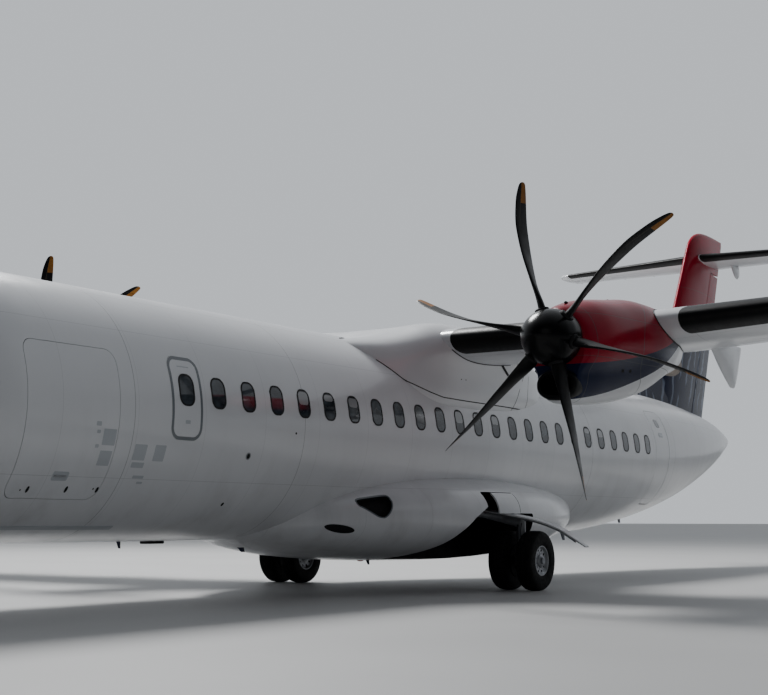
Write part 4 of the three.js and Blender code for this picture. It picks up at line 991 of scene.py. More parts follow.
def build_tail():
    head = RUDDER_TOP + 0.045 / FIN_HEIGHT
    ends = [foil_ring(FIN, 1.03)] + swept_end(FIN, 1.055, 0.138, 15, 0.36, 1, 0.05, 0.45)
    fin = [shell(FIN, -0.02, head, foil_ring, FIN_HINGE), shell(FIN, head, 1.04, foil_ring), loft(ends)]
    build("fin_skin", fin, "fin", replaces=("fin", "fin_tip"), weld=False)
    rudder = build("rudder_skin", shell(FIN, -0.05, RUDDER_TOP, moving_ring, FIN_HINGE), "fin", loose=True)
    cut(rudder, FUSELAGE.solid(0.3, 64, 0.018, -10.6), "fin")
    dress(rudder, body="rudder", replaces=("rudder",))

    rings = []
    a = np.linspace(0, PI, 15)
    for x in np.linspace(-6.3, -9.62, 24):
        t = (-6.3 - x) / 3.2
        top, half = 3.6 + 0.55 * t ** 1.35, 0.012 + 0.105 * t
        arc = np.stack([np.full(15, x), half * 0.42 * np.cos(a), top - half * 0.42 + half * 0.42 * np.sin(a)], -1)
        rings.append(np.concatenate([[(x, half * 1.5, 3.38)], arc, [(x, -half * 1.5, 3.38)]]))
    build("dorsal_skin", loft(rings), "fin", replaces=("dorsal_fin",))

    plane, boots = [], []
    for side, word in SIDES:
        half, inner, outer = tail_half(side), (ELEVATOR_Y - SIDE_GAP) / TAIL_Y, HORN_Y / TAIL_Y
        plane.append(shell(half, 0.0, inner, foil_ring))
        plane.append(shell(half, inner, outer - 0.004, foil_ring, TAIL_HINGE))
        boots.append(boot(half, ELEVATOR_Y / TAIL_Y, outer - 0.01, -0.34, 0.28, 0.06))
        moving = shell(half, ELEVATOR_Y / TAIL_Y, outer + 0.002, moving_ring, TAIL_HINGE)
        horn = loft(swept_end(half, outer, 0.992 - outer, 12, 0.3, 2, 0.06, 0.5))
        node = f"elevator_{word}"
        build(f"elevator_skin_{word}", [moving, horn], "white_plain", node, (node,), False)
    build("tailplane_skin", plane, "white_plain", replaces=("tailplane",), weld=False)
    build("tailplane_boots", boots, "boot")


build_wings()
build_tail()


# ---- Power plants ----
NACELLE = [
    (4.115, 0.34, 3.49, 2.44), (4.095, 0.368, 3.516, 2.412), (4.04, 0.4, 3.545, 2.392),
    (3.9, 0.45, 3.595, 2.385), (3.6, 0.52, 3.675, 2.395), (3.0, 0.565, 3.755, 2.45),
    (2.3, 0.6, 3.83, 2.58), (1.65, 0.545, 3.82, 2.8), (1.1, 0.4, 3.74, 2.96),
    (0.86, 0.32, 3.69, 3.0), (0.815, 0.295, 3.66, 3.022), (0.8, 0.262, 3.63, 3.05),
]
NACELLE_WAIST = [(4.12, 0.7), (4.04, 0.95), (3.6, 0.85), (3.0, 0.5), (2.3, 0.0), (0.8, 0.0)]
INTAKE_LIP = [
    (4.18, 0.232, 2.762, 2.44), (4.165, 0.246, 2.769, 2.43), (4.15, 0.254, 2.772, 2.425),
    (4.06, 0.262, 2.785, 2.41), (3.7, 0.262, 2.79, 2.405),
]
INTAKE = [(4.23, 0.208, 2.735, 2.465), (4.1, 0.185, 2.722, 2.475), (3.8, 0.13, 2.7, 2.5)]
# Exhaust pipe and the dark disc in it, which is painted shade inside the pipe: radius, x
PIPE = [
    (0.118, 0.8), (0.118, 0.6), (0.128, 0.43), (0.134, 0.42), (0.14, 0.43), (0.14, 0.6),
    (0.146, 0.78), (0.146, 0.8), (0.118, 0.8),
]
PIPE_END = [(0.0, 0.785), (0.117, 0.785), (0.117, 0.795), (0.0, 0.795)]
# Blade stations: radius, chord, thickness, offset forward, offset sideways, turn in degrees
BLADE = np.array([
    (0.25, 0.15, 0.11, -0.03, 0.0, 26), (0.4, 0.225, 0.08, -0.028, -0.008, 24),
    (0.7, 0.224, 0.046, 0.01, -0.007, 10), (1.0, 0.243, 0.032, 0.025, -0.001, 0),
    (1.35, 0.232, 0.024, 0.013, 0.021, -9), (1.7, 0.188, 0.015, -0.049, 0.071, -16),
    (1.88, 0.126, 0.009, -0.099, 0.107, -21), (1.945, 0.075, 0.007, -0.122, 0.12, -24),
    (1.958, 0.03, 0.006, -0.127, 0.122, -25),
])
# Spinner: x from the hub, radius
SPINNER = pchip(*zip(
    (-0.12, 0.338), (-0.04, 0.338), (0.09, 0.316), (0.21, 0.268), (0.32, 0.188), (0.395, 0.088), (0.42, 0.0)))


def nacelle_body(y):
    return Body(NACELLE, 2.3, y, waist=NACELLE_WAIST)


def build_nacelle(side, word):
    y = side * ENGINE_Y
    pod = build(f"nacelle_skin_{word}", nacelle_body(y).solid(0.08, 96), "nacelle", loose=True)
    bore = Body(INTAKE, 2.4, y).solid(0.08, 48)
    # The mouth behind the spinner and the intake's bore are near black: painted shade in the recesses.
    cut(pod, revolve([(0.3, -0.28), (0.3, 0.1)], "X", (4.06, y, PROP_Z), 64), "dark")
    cut(pod, bore, "dark")
    dress(pod, replaces=(f"nacelle_{word}",))
    lip = build(f"intake_lip_{word}", Body(INTAKE_LIP, 2.4, y).solid(0.03, 64), "boot", loose=True)
    cut(lip, bore, "boot")
    dress(lip)
    axis = (0, y, PROP_Z)
    build(f"exhaust_skin_{word}", revolve(PIPE, "X", axis, 56), "exhaust", replaces=(f"exhaust_{word}",))
    # A near-black disc just inside the pipe's end: painted shade.
    build(f"exhaust_dark_{word}", revolve(PIPE_END, "X", axis, 40), "dark")


def blade_rings(angle):
    spans = (np.linspace(0.25, 0.5, 8), np.linspace(0.5, 1.85, 34)[1:], np.linspace(1.85, 1.958, 12)[1:])
    radii = np.concatenate(spans)
    chord, thick, ahead, aside, turn = (pchip(BLADE[:, 0], BLADE[:, i])(radii) for i in range(1, 6))
    a, rings = circle(28), []
    for r, c, t, f, w, lean in zip(radii, chord, thick, ahead, aside, np.radians(turn)):
        along, across = c / 2 * np.cos(a), t / 2 * np.sin(a) * (1 + 0.22 * np.cos(a))
        x = f + along * math.cos(lean) - across * math.sin(lean)
        y = w + along * math.sin(lean) + across * math.cos(lean)
        cos, sin = math.cos(angle), math.sin(angle)
        rings.append(np.stack([x, y * cos - r * sin, y * sin + r * cos], -1))
    return np.array(rings)


def build_propeller(side, word, phase):
    hub, body = np.array([PROP_X, side * ENGINE_Y, PROP_Z]), f"propeller_{word}"
    along = np.concatenate([np.linspace(-0.12, 0.36, 22), 0.42 - 0.06 * (1 - np.linspace(0, 1, 10)[1:]) ** 2])
    radius = SPINNER(along)
    radius[-9:] = np.sqrt(np.clip((0.42 - along[-9:]) / 0.06, 0, 1)) * radius[21]
    profile = [(0.0, -0.21), (0.314, -0.21), (0.332, -0.2), (0.338, -0.18), *zip(radius, along)]
    profile[-1] = (0.0, 0.42)
    build(f"spinner_{word}", revolve(profile, "X", hub, 96), "spinner", body, (body,))
    blades, cuffs = [], []
    for angle in (phase + k * PI / 3 for k in range(6)):
        way = np.array([0, -math.sin(angle), math.cos(angle)])
        blades.append(loft(hub + blade_rings(angle)))
        cuffs.append(tube([hub + way * r for r in (0.26, 0.335, 0.346)], [0.088, 0.088, 0.08], 28))
    build(f"blades_{word}", blades, "blade", body)
    build(f"blade_cuffs_{word}", cuffs, "seal", body)
    build(f"propeller_shaft_{word}", revolve([(0.088, -0.35), (0.088, -0.205)], "X", hub, 32), "engine", body)


# The angle of each propeller at rest
for side, word, phase in ((1, "left", 0.2624), (-1, "right", 0.24)):
    build_nacelle(side, word)
    build_propeller(side, word, phase)


# ---- Landing gear ----
def tyre_profile(radius, rim, half):
    wall, groove = radius - rim, 0.006 / half
    points = [(0.0, radius)]
    for place in (0.16, 0.4):
        edge = radius - 0.004 * place
        points += [(place - groove, edge), (place - groove * 0.8, radius - 0.009),
                   (place + groove * 0.8, radius - 0.009), (place + groove, edge)]
    points += [(y, radius + drop * wall / 0.195) for y, drop in (
        (0.6, -0.004), (0.77, -0.009), (0.89, -0.02), (0.955, -0.038), (0.988, -0.064), (1.0, -0.098))]
    points += [(0.99, rim + wall * 0.22), (0.95, rim + wall * 0.1), (0.89, rim + 0.01), (0.86, rim)]
    side = [(r, y * half) for y, r in points]
    ring = [(r, -y) for r, y in side[1:]][::-1] + side + [(rim, 0.8 * half), (rim, -0.8 * half)]
    return ring + ring[:1]


def hub_profile(rim, twin, half, face):
    """One wheel of a pair, from its inner face out; face is +1 or -1."""
    inner, outer = twin - half + 0.018, twin + half - 0.018
    flat = [(0.0, inner + 0.02), (0.5, inner + 0.02), (0.93, inner), (1.0, inner + 0.004), (1.0, outer - 0.004)]
    flat += [(r, outer + y) for r, y in (
        (0.985, 0.0), (0.93, 0.0), (0.9, -0.01), (0.8, -0.034), (0.62, -0.04), (0.46, -0.03), (0.42, -0.012),
        (0.34, -0.004), (0.3, 0.006), (0.12, 0.009), (0.0, 0.009))]
    return [(rim * r, face * y) for r, y in flat]


def build_wheels(name, body, radius, rim, half, twin, x, y, tyres, hubs, holes):
    centre = np.array([x, y, radius])

    def spun(profile, at, sides):
        return revolve(profile, "Y", at, sides)

    for face, node in zip((1, -1), tyres):
        rubber_ring = spun(tyre_profile(radius, rim, half), centre + [0, face * twin, 0], 72)
        build(node + "_rubber", rubber_ring, "tyre", body, (node,), sharp=40)
    wheels = [spun(hub_profile(rim, twin, half, face), centre, 60) for face in (1, -1)]
    rims = build(name + "_rims", wheels, "alloy", loose=True)
    bores, nuts, caps, covers = [], [], [], []
    for face in (1, -1):
        outer = face * (twin + half - 0.018)
        for k in range(holes):
            a, b = ((k + shift) / holes * 2 * PI for shift in (0.5, 0))
            spot = centre + [math.sin(a) * rim * 0.71, outer, math.cos(a) * rim * 0.71]
            bores.append(spun([(rim * 0.085, -0.075 * face), (rim * 0.085, 0.05 * face)], spot, 16))
            spot = centre + [math.sin(b) * rim * 0.53, outer - face * 0.036, math.cos(b) * rim * 0.53]
            nuts.append(spun([(0, -0.006), (rim * 0.04, -0.006), (rim * 0.04, 0.012), (0, 0.012)], spot, 6))
        cap = [(0, 0.0), (rim * 0.25, 0.0), (rim * 0.25, 0.012), (rim * 0.2, 0.022), (0, 0.024)]
        caps.append(spun([(r, face * t) for r, t in cap], centre + [0, outer + face * 0.004, 0], 32))
        near, far = face * (twin - half - 0.004), face * (twin - half + 0.022)
        section = [(0.095, near), (rim * 1.02, near), (rim * 1.02, far), (0.095, far), (0.095, near)]
        covers.append(spun(section, centre, 48))
    cut(rims, bores, "dark")
    dress(rims, body=body, replaces=(hubs,))
    build(name + "_nuts", nuts, "chrome", body)
    build(name + "_caps", caps, "engine", body)
    axle = spun([(radius * 0.11, -twin + half - 0.04), (radius * 0.11, twin - half + 0.04)], centre, 28)
    build(name + "_axle", axle, "chrome", body)
    if body != "nose_wheels":
        build(name + "_brake_covers", covers, "dark", body)


def tubes(at, rows):
    """Round bars from rows of points, radii and sides."""
    return [tube([at(*p) for p in points], radii, sides) for points, radii, sides in rows]


def smooth(points, count):
    """A smooth line through points."""
    lengths = np.concatenate([[0], np.cumsum(np.linalg.norm(np.diff(points, axis=0), axis=1))])
    t = np.linspace(0, lengths[-1], count)
    return np.stack([pchip(lengths, column)(t) for column in np.transpose(points)], -1)


GEAR_X, GEAR_Y, NOSE_GEAR_X = 1.115, 2.05, 11.885
# The curved plate over each main wheel: y, z
PLATE = pchip(*zip(
    (1.15, 1.175), (1.33, 1.155), (1.6, 1.112), (2.0, 1.05), (2.35, 0.978), (2.65, 0.872), (2.86, 0.75),
    (3.05, 0.62)))


def build_main_gear(side, word):
    def at(dx, across, z):
        return np.array([GEAR_X + dx, side * across, z])

    bars = tubes(at, (
        ([(dx, 1.33, 1.13) for dx in (-0.684, -0.55, -0.54, 0.54, 0.55, 0.684)],
         [0.078, 0.078, 0.064, 0.064, 0.078, 0.078], 28),
        ([(0, 1.33, 1.13), (0, 1.45, 1.1), (0, 1.9, 0.99), (0, 2.06, 0.95)], [0.085, 0.066, 0.064, 0.072], 28),
        ([(0.525, 1.33, 1.13), (0, 1.8, 1.03)], 0.036, 18),
        ([(0, GEAR_Y, z) for z in (0.985, 0.72, 0.715, 0.69)], [0.062, 0.062, 0.068, 0.068], 28),
        ([(0, 1.9, 0.98), (0, 1.9, 1.1)], 0.04, 18),
    ))
    build(f"main_leg_{word}", bars, "steel", replaces=(f"main_gear_leg_{word}",))
    build(f"main_oleo_{word}", tube([at(0, GEAR_Y, 0.7), at(0, GEAR_Y, 0.5)], 0.046, 28), "chrome")
    boss = [(0.053, -0.072), (0.084, -0.072), (0.09, -0.06), (0.09, 0.06), (0.084, 0.072), (0.053, 0.072),
            (0.053, -0.072)]
    links = [revolve(boss, "Y", at(0, GEAR_Y, 0.425), 36)] + tubes(at, (
        ([(-0.075, GEAR_Y, 0.7), (-0.205, GEAR_Y, 0.59)], [0.02, 0.013], 12),
        ([(-0.205, GEAR_Y, 0.59), (-0.08, GEAR_Y, 0.46)], [0.013, 0.02], 12),
    ))
    y = side * GEAR_Y
    links.append(slab(GEAR_X - 0.08, GEAR_X - 0.05, y - 0.045, y + 0.045, 0.685, 0.72))
    build(f"main_links_{word}", links, "engine")
    line = ((0.055, 0.96), (0.085, 0.84), (0.08, 0.66), (0.105, 0.56), (0.094, 0.44))
    hoses = [tube(smooth([at(dx, GEAR_Y + off, z) for dx, z in line], 24), 0.007, 8) for off in (0.03, -0.03)]
    build(f"main_hoses_{word}", hoses, "seal")

    rows = [(a, float(PLATE(a)), max(0.0, (a - 1.9) / 1.05) ** 1.2) for a in np.linspace(1.15, 3.05, 44)]

    def strip(rows, section):
        """A strip along the plate; section gives x and height at each taper."""
        return loft([[at(dx, a, h + dz) for dx, dz in section(taper)] for a, h, taper in rows])

    def plate(taper):
        w = 0.18 - 0.105 * taper
        n = w - 0.006
        return (-n, 0), (n, 0), (w, 0.006), (w, 0.018), (n, 0.024), (-n, 0.024), (-w, 0.018), (-w, 0.006)

    # A dark sheet under the plate: painted shade on its underside.
    def lining(taper):
        w = 0.15 * (1 - 0.55 * taper)
        return (-w, -0.004), (w, -0.004), (w, 0.002), (-w, 0.002)

    build(f"gear_plate_{word}", strip(rows, plate), "white_plain", replaces=(f"main_gear_door_{word}",))
    build(f"gear_plate_lining_{word}", strip(rows[2:-2], lining), "dark")
    ribs = [strip(rows[3:-3], lambda _: (
        (dx - 0.008, -0.028), (dx + 0.008, -0.028), (dx + 0.012, 0.004), (dx - 0.012, 0.004)
    )) for dx in (-0.07, 0.07)]
    build(f"gear_plate_ribs_{word}", ribs, "steel")
    xs = np.linspace(0.868, 1.5, 14)
    panel = band(Side(BELLY, side), xs, 0 * xs + 1.095, 0 * xs + 1.392, 8, -0.002, -0.026)
    build(f"gear_side_panel_{word}", panel, "white_plain")
    tyres = (f"main_tyre_{word}_outer", f"main_tyre_{word}_inner")[::side]
    build_wheels(f"main_wheel_{word}", f"main_wheels_{word}", 0.425, 0.215, 0.127, 0.21, GEAR_X, y, tyres,
                 f"main_wheel_hubs_{word}", 10)


def build_nose_gear():
    def at(dx, y, z):
        return np.array([NOSE_GEAR_X + dx, y, z])

    bars = tubes(at, (
        ([(0, 0, z) for z in (0.481, 0.52, 0.521, 1.3)], [0.072, 0.072, 0.065, 0.065], 28),
        ([(0, 0.2997, 1.23), (0, -0.2997, 1.23)], 0.055, 24),
        ([(0, 0, 0.76), (-0.56, 0, 1.23)], 0.038, 20),
        ([(-0.56, 0.2997, 1.23), (-0.56, -0.2997, 1.23)], 0.038, 20),
        ([(0.02, 0.065, 0.62), (0.02, 0.13, 0.62)], 0.024, 16),
        ([(0.02, -0.065, 0.62), (0.02, -0.13, 0.62)], 0.024, 16),
    ))
    build("nose_leg", bars, "steel", replaces=("nose_gear_leg",))
    lamp = [(0, 0.0), (0.03, 0.0), (0.072, 0.045), (0.078, 0.07), (0.07, 0.074), (0, 0.08)]
    build("nose_taxi_lamp", revolve(lamp, "X", at(0.066, 0, 0.86), 32), "lamp_clear")
    boss = [(0.033, -0.08), (0.056, -0.08), (0.062, -0.07), (0.062, 0.07), (0.056, 0.08), (0.033, 0.08),
            (0.033, -0.08)]
    fork = tubes(at, (
        ([(0, 0, 0.225), (0, 0, 0.4797)], 0.047, 28),
        ([(0.06, 0, 0.465), (0.165, 0, 0.4)], [0.018, 0.012], 12),
        ([(0.165, 0, 0.4), (0.058, 0, 0.3)], [0.012, 0.018], 12),
    )) + [revolve(boss, "Y", at(0, 0, 0.225), 32)]
    build("nose_fork", fork, "chrome", "nose_steering", ("nose_gear_fork",))
    build_wheels("nose_wheel", "nose_wheels", 0.225, 0.1147, 0.095, 0.2, NOSE_GEAR_X, 0.0,
                 ("nose_tyre_left", "nose_tyre_right"), "nose_wheel_hubs", 8)
    for side, word in SIDES:
        y0, y1 = sorted((side * 0.3006, side * 0.322))
        low = np.full(12, 0.562)
        low[[0, -1]] += 0.045
        low[[1, -2]] += 0.008
        rings = []
        for x, b in zip(np.linspace(11.165, 11.795, 12), low):
            h, m, t = FUSELAGE.parts(x)
            top = m - t * math.sqrt(max(0.0, 1 - (0.33 / h) ** 2)) - 0.004
            rings.append([(x, y0, b), (x, y1, b), (x, y1, top), (x, y0, top)])
        build(f"nose_door_{word}", loft(rings), "white_plain", replaces=(f"nose_gear_door_{word}",))


for side, word in SIDES:
    build_main_gear(side, word)
build_nose_gear()
for node in ("engine_left", "engine_right"):
    for slot in bpy.data.objects[node].material_slots:
        slot.material = M["engine"]


# ---- Small parts ----
# Blank plates on the port side: x, low z, width, height
PLATES = [
    (8.985, 1.746, 0.185, 0.165), (8.985, 1.54, 0.175, 0.15), (8.48, 1.612, 0.19, 0.165), (8.17, 1.612, 0.17, 0.17),
    (8.46, 1.535, 0.19, 0.055), (9.16, 1.935, 0.07, 0.045), (9.15, 1.86, 0.05, 0.035), (9.14, 1.715, 0.05, 0.035),
    (8.38, 1.425, 0.17, 0.03), (8.32, 1.37, 0.09, 0.022), (7.8, 2.65, 0.2, 0.012),
]
# Drains and ports on the port side: x, z, radius, stretch
PORTS = [
    (9.86, 1.283, 0.018, 1.8), (9.34, 1.292, 0.018, 1.8), (8.9, 1.297, 0.018, 1.6), (8.96, 1.305, 0.009, 1.0),
    (6.7, 1.172, 0.02, 1.0), (5.78, 2.03, 0.014, 1.0), (9.95, 1.275, 0.008, 1.0), (6.64, 1.724, 0.03, 1.0),
]
# Handles: name, side, x, z, body
HANDLES = [
    ("cargo", 1, 9.51, 1.42, "cargo_door"), ("passenger", 1, -6.22, 2.62, "passenger_door"),
    ("service", -1, -6.25, 2.05, "airframe"),
]
AIRSTAIR_SWING = math.radians(115)
# Blade antennas: x, y, z, height (down if negative), chord, sweep
ANTENNAS = [
    (10.6, 0, 3.53, 0.06, 0.2, 0.08), (-3.6, 0, 3.592, 0.22, 0.22, 0.1), (7.35, 0, 0.742, -0.085, 0.07, 0.02),
    (5.1, 0.05, 0.64, -0.06, 0.14, 0.05), (-4.6, 0, 0.82, -0.18, 0.2, 0.08), (-7.2, 0, 1.12, -0.16, 0.18, 0.07),
    (2.55, 0.35, 0.435, -0.07, 0.09, 0.03),
]


def blade_antenna(x, y, z, height, chord, sweep):
    """A swept blade standing on the skin."""
    a, rings = circle(16), []
    for t in np.linspace(0, 1, 6):
        c, half = chord * (1 - 0.45 * t), 0.012 * (1 - 0.5 * t)
        place = [x - sweep * t + c / 2 * np.cos(a), y + half * np.sin(a), np.full(16, z + height * t)]
        rings.append(np.stack(place, -1))
    return loft(rings)


def build_marks():
    port, lines, plates, door_plates, strips = SKIN[1], [], [], [], []
    for _, side, x0, x1, z0, z1, _ in DOORS[3:]:
        skin, inset = SKIN[side], 0.0175
        ring = outline(x0 + inset, x1 - inset, z0 + inset, z1 - inset, 0.12, 10)
        lines.append(ribbon(skin, ring, 0.036, 0.0016, -0.003, closed=True))
        plates.append(patch(skin, 7.75, 7.83, 2.03, 2.07, 0.006, 4, 3, 0.0014, -0.003))
        strips.append(ribbon(skin, [(x, 0.908) for x in np.linspace(10.05, 8.2, 24)], 0.034, 0.01, -0.004))
    for x, z, w, h in PLATES:
        plate = patch(port, x - w / 2, x + w / 2, z, z + h, 0.008, 4, 5, 0.0012, -0.003)
        (door_plates if x > 8.875 else plates).append(plate)
    build("cargo_door_plates", door_plates, "placard", "cargo_door")
    build("exit_outlines", lines, "grey_line")
    build("low_strips", strips, "placard")
    build("blank_plates", plates, "placard")
    build("skin_ports", [disc(port, x, z, r, 0.002, -0.006, k) for x, z, r, k in PORTS], "dark")
    x, z = PORTS[-1][:2]
    circled = [(x + 0.036 * math.cos(a), z + 0.036 * math.sin(a)) for a in np.linspace(0, 2 * PI, 29)[:-1]]
    build("port_rims", ribbon(port, circled, 0.012, 0.004, -0.004, closed=True), "steel")
    for name, side, x, z, body in HANDLES:
        pan = patch(SKIN[side], x - 0.11, x + 0.11, z - 0.045, z + 0.045, 0.02, 5, 5, 0.0012, -0.004)
        bar = patch(SKIN[side], x - 0.085, x + 0.085, z - 0.012, z + 0.012, 0.01, 5, 4, 0.006, -0.002)
        build(f"{name}_handle_pan", pan, "placard", body)
        build(f"{name}_handle", bar, "bare", body)
    build("service_door_pane", patch(SKIN[-1], -6.37, -6.13, 2.24, 2.46, 0.06, 6, 6, 0.0015, -0.005), "glass")
    pane = patch(port, -6.33, -6.11, 2.76, 2.92, 0.05, 6, 6, 0.0015, -0.005)
    build("passenger_door_pane", pane, "glass", "passenger_door")


def build_door_insides():
    def wall(x, z):
        return float(SKIN[1].point(x, z)[1])

    # Wedge steps whose tops lie level once the door has swung down
    swing = AIRSTAIR_SWING
    tread, riser = np.array([math.cos(swing), math.sin(swing)]), np.array([math.sin(swing), -math.cos(swing)])
    steps, rails = [], []
    for z in (1.46 + k * 0.232 for k in range(6)):
        heel = np.array([wall(-6.225, z) - 0.08, z])
        nose = heel + 0.215 * tread
        reach = 0.0
        while nose[0] + reach * riser[0] < wall(-6.225, nose[1] + reach * riser[1]) - 0.08:
            reach += 0.004
        corners = (heel, nose, nose + reach * riser)
        steps.append(loft([[(x, *corner) for corner in corners] for x in (-6.5, -5.95)]))
    for x in (-6.53, -5.92):
        line = [(x, wall(x, z) - 0.155, z) for z in np.linspace(1.46, 2.86, 16)]
        rails.append(tube(line, 0.013, 12))
        rails += [tube([p, (p[0], p[1] + 0.1, p[2])], 0.011, 10) for p in (line[0], line[-1])]
    lining = patch(SKIN[1], -6.555, -5.895, 1.365, 3.0, 0.1, 9, 20, -0.05, -0.088, 8)
    build("airstair_lining", lining, "cabin", "passenger_door")
    build("airstair_steps", steps, "bare", "passenger_door")
    build("airstair_rails", rails, "steel", "passenger_door")
    lining = patch(SKIN[1], 8.93, 10.095, 1.26, 2.67, 0.1, 9, 20, -0.05, -0.08, 8)
    build("cargo_door_lining", lining, "cabin", "cargo_door")


def build_fittings():
    build("blade_antennas", [blade_antenna(*row) for row in ANTENNAS], "navy")
    boxes = [slab(6.6, 6.92, -0.06, 0.06, 0.705, 0.745, 0.01), slab(9.8, 10.05, -0.1, 0.1, 0.712, 0.745, 0.008)]
    build("belly_boxes", boxes, "dark")
    build("belly_beacon", lens((2.2, 0, 0.425), (0.08, 0.05, 0.03)), "lamp_red")
    build("fin_beacon", lens((-12.8, 0, 7.61), (0.055, 0.03, 0.038)), "lamp_red")
    probes = []
    for side, skin in SKIN.items():
        out = np.array([0, side * 0.055, -0.01])
        for base in (skin.point(12.35, 1.72), skin.point(12.05, 1.62)):
            line = [base - out * 0.4, base + out, base + out + [0.03, 0, 0], base + out + [0.13, 0, 0]]
            probes.append(tube(line, [0.018, 0.011, 0.01, 0.008], 12))
        port = [(0.0, -0.02), (0.045, -0.02), (0.045, 0.003), (0.0, 0.006)]
        probes.append(revolve(port, "Y", skin.point(11.55, 1.85), 24))
    build("air_probes", probes, "chrome")


def build_cockpit():
    """Six panes round the flight deck."""
    frames, panes = [], []

    def pane(skin, corners):
        """A four-cornered pane. Corners are x and z: front low, front high, rear high, rear low."""
        (x0, z0), (x1, z1), (x2, z2), (x3, z3) = corners
        us = min(x3, x2) + (max(x0, x1) - min(x3, x2)) * np.linspace(0, 1, 14)
        bottom, top = np.interp(us, [x3, x0], [z3, z0]), np.interp(us, [x2, x1], [z2, z1])
        if x0 > x1:
            top = np.where(us > x1, np.minimum(top, np.interp(us, [x1, x0], [z1, z0])), top)
        back = np.interp(us, [x3, x2], [z3, z2]) if x2 > x3 else bottom
        top = np.maximum(np.where(us < x2, np.minimum(top, back), top), bottom + 0.002)
        path = densify([*zip(us, bottom)] + [*zip(us, top)][::-1], 0.03, np.inf)
        panes.append(band(skin, us, bottom, top, 8, 0.0018, -0.006))
        frames.append(ribbon(skin, path, 0.03, 0.0035, -0.006, closed=True))

    us = np.linspace(11.56, 12.06, 14)
    for side, skin in SKIN.items():
        pane(skin, ((11.86, 2.46), (11.46, 2.86), (11.38, 2.88), (11.34, 2.44)))
        pane(skin, ((11.24, 2.44), (11.28, 2.88), (10.98, 2.86), (10.86, 2.46)))
        # The windscreen, by x and angle from the top
        inner, outer = np.full(14, 0.045), np.interp(us, [11.56, 12.06], [0.66, 0.98])
        lo, hi = (inner, outer) if side > 0 else (-outer, -inner)
        panes.append(band(FUSELAGE, us, lo, hi, 14, 0.0018, -0.006))
        front, rear = (np.linspace(lo[i], hi[i], 12)[1:-1] for i in (-1, 0))
        path = [*zip(us, lo)] + [(us[-1], v) for v in front]
        path += [*zip(us, hi)][::-1] + [(us[0], v) for v in rear[::-1]]
        frames.append(ribbon(FUSELAGE, path, 0.034, 0.0035, -0.006, closed=True, v_scale=1.05))
    build("cockpit_panes", panes, "windscreen")
    build("cockpit_frames", frames, "seal")
    arm = ((12.1, 0.42), (11.98, 0.36), (11.74, 0.2))
    wipers = [tube([FUSELAGE.point(x, side * a, 0.014) for x, a in arm], 0.006, 8) for side, _ in SIDES]
    build("wipers", wipers, "dark")


def wicks(foil, spans, first, second):
    """Static wicks on a trailing edge."""
    starts = [foil.place(s, 0.995, 0.0) for s in spans]
    return [tube([p, p + first, p + second], [0.004, 0.003, 0.002], 6) for p in starts]


def build_surface_details():
    for side, word in SIDES:
        spans = [outer_span(y) for y in (9.95, 10.9, 11.9, 12.9, 13.2)]
        parts = wicks(wing_parts(side)[1], spans, [-0.1, 0, -0.004], [-0.16, 0, -0.006])
        build(f"aileron_wicks_{word}", parts, "dark", f"aileron_{word}")
        parts = wicks(tail_half(side), (0.45, 0.65, 0.85, 0.96), [-0.05, 0, 0], [-0.08, 0, 0])
        build(f"elevator_wicks_{word}", parts, "dark", f"elevator_{word}")
    # The trim jack's fairing, under the port half only
    centre, _ = tail_half(1).hinge(0.57 / TAIL_Y, TAIL_HINGE)
    a, rings = circle(14), []
    for t in np.linspace(0, 1, 12):
        drop, w = 0.33 * math.sin(t * PI * 0.62) ** 1.6, 0.01 + 0.032 * math.sin(t * PI * 0.8)
        place = [np.full(14, 0.415 - t * 0.56), w * np.sin(a), -0.05 - drop * (1 - np.cos(a)) / 2]
        rings.append(centre + np.stack(place, -1))
    build("tailplane_brackets", loft(rings), "white_plain")
    vents = []
    for y in (ENGINE_Y, -ENGINE_Y):
        for face in (Side(nacelle_body(y), side) for side, _ in SIDES):
            vents.append(disc(face, 3.21, 2.816, 0.032, 0.002, -0.006, 0.6))
            vents.append(disc(face, 3.03, 2.828, 0.028, 0.002, -0.006, 0.7))
    for y in (ENGINE_Y, -ENGINE_Y):
        vents += [lens((3.86, y, 3.612), (0.05, 0.016, 0.022)), lens((2.62, y, 3.79), (0.045, 0.018, 0.024))]
    build("nacelle_vents", vents, "dark")


def build_junctions():
    """Dark sealant where the wing meets the cowls and the body."""
    cowl = nacelle_body(ENGINE_Y)
    # Body, its side, a first guess of y, and the signed roots of the chord fraction
    round_cowl = np.linspace(-0.8, 0.62, 70)
    meetings = (
        (cowl, 1, ENGINE_Y + 0.5, round_cowl), (cowl, -1, ENGINE_Y - 0.5, round_cowl),
        (HUMP, 1, 1.6, np.linspace(-0.86, -0.22, 40)),
    )
    beads = []
    for side, _ in SIDES:
        for body, reach, guess, vs in meetings:
            line = []
            for v in vs:
                y = guess
                for _ in range(4):
                    foil, span = wing_at(side, y)
                    x, _, z = foil.point(span, v)
                    _, mid, tall = body.parts(x)
                    if abs(z - mid) >= tall * 0.999:
                        break
                    y = float(body.point(x, body.angle(x, z, reach))[1])
                else:
                    line.append([x, side * y, z])
            beads.append(tube(line, 0.01, 8))
    build("wing_junction_seals", beads, "seal")


build_marks()
build_door_insides()
build_fittings()
build_cockpit()
build_surface_details()
build_junctions()


# ---- Camera, light and floor ----
FLOOR = 900.0
# Lights: name, place, aim, size, power
LIGHTS = (
    ("key", (-10, -18, 30), (0, 0, 2), 11.0, 16000.0),
    ("fill", (26, 26, 12), (2, 0, 2), 18.0, 250.0),
)


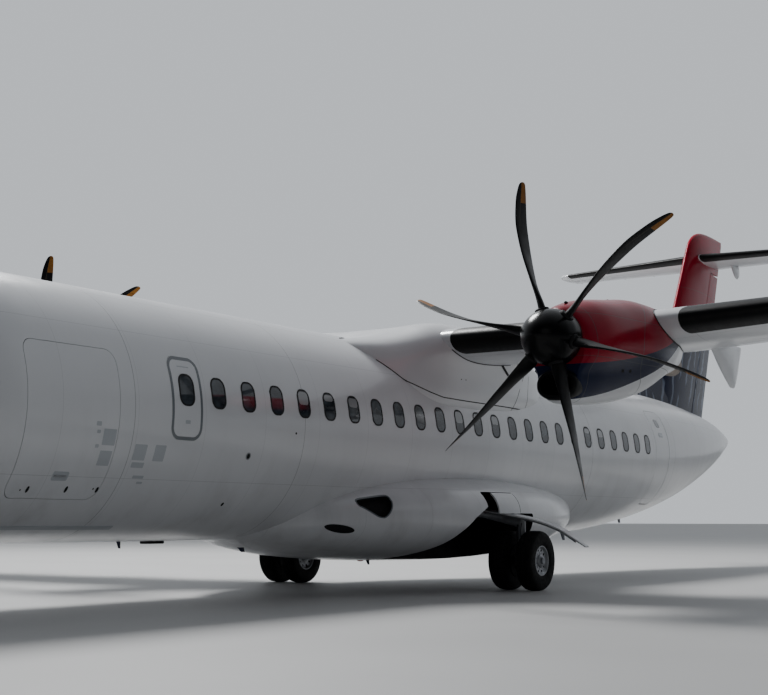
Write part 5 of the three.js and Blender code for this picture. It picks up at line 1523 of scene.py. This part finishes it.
def build_stage():
    mesh = bpy.data.meshes.new("floor")
    corners = [(x * FLOOR, y * FLOOR, 0) for x, y in ((-1, -1), (1, -1), (1, 1), (-1, 1))]
    mesh.from_pydata(corners, [], [(0, 1, 2, 3)])
    floor = bpy.data.objects.new("floor", mesh)
    bpy.context.collection.objects.link(floor)
    g = Graph("floor_pale")
    base = g.mix(g.ramp(g.noise(0.25, 3.0), 0.3, 0.7), (0.47, 0.47, 0.465), (0.44, 0.44, 0.435))
    g.bump(g.noise(12.0, 3.0), 0.04, 0.01)
    mesh.materials.append(g.finish(base, 0.55))

    world = bpy.data.worlds.new("studio")
    bpy.context.scene.world = world
    world.use_nodes = True
    nodes, links = world.node_tree.nodes, world.node_tree.links
    back = nodes["Background"]
    coord, aim, spread, ramp = (nodes.new("ShaderNode" + kind) for kind in (
        "TexCoord", "VectorMath", "MapRange", "ValToRGB"))
    aim.operation = "DOT_PRODUCT"
    aim.inputs[1].default_value = (-0.74, -0.55, 0.38)
    spread.inputs[1].default_value, spread.inputs[2].default_value = -1.0, 1.0
    links.new(coord.outputs["Generated"], aim.inputs[0])
    links.new(aim.outputs["Value"], spread.inputs[0])
    links.new(spread.outputs[0], ramp.inputs[0])
    links.new(ramp.outputs[0], back.inputs["Color"])
    dim, bright = ramp.color_ramp.elements
    dim.position, dim.color = 0.36, (0.045, 0.05, 0.06, 1)
    bright.position, bright.color = 0.9, (0.84, 0.88, 0.93, 1)
    back.inputs["Strength"].default_value = 0.75

    for name, place, target, size, power in LIGHTS:
        lamp = bpy.data.lights.new(name, "AREA")
        lamp.shape, lamp.size, lamp.energy = "DISK", size, power
        obj = bpy.data.objects.new(name, lamp)
        obj.location = place
        obj.rotation_mode = "QUATERNION"
        obj.rotation_quaternion = (Vector(target) - Vector(place)).to_track_quat("-Z", "Y")
        bpy.context.collection.objects.link(obj)


def build_camera():
    """The photograph's own view, solved from the aircraft's known sizes."""
    data = bpy.data.cameras.new("camera")
    data.sensor_width = 36.0
    data.lens = 1399.14 / 768 * 36.0
    data.shift_x, data.shift_y = 0.145833, 0.109375
    data.clip_start, data.clip_end = 0.1, 3000.0
    camera = bpy.data.objects.new("camera", data)
    right = Vector((-0.598258, 0.8013012, 0.0019465))
    up = Vector((0.0525419, 0.036804, 0.9979403))
    back = -Vector((-0.7995791, -0.5971281, 0.0641202))
    turn = Matrix((right, up, back)).transposed().to_4x4()
    camera.matrix_world = Matrix.Translation((19.38657, 11.22374, 0.9753)) @ turn
    bpy.context.collection.objects.link(camera)
    bpy.context.scene.camera = camera


build_stage()
build_camera()
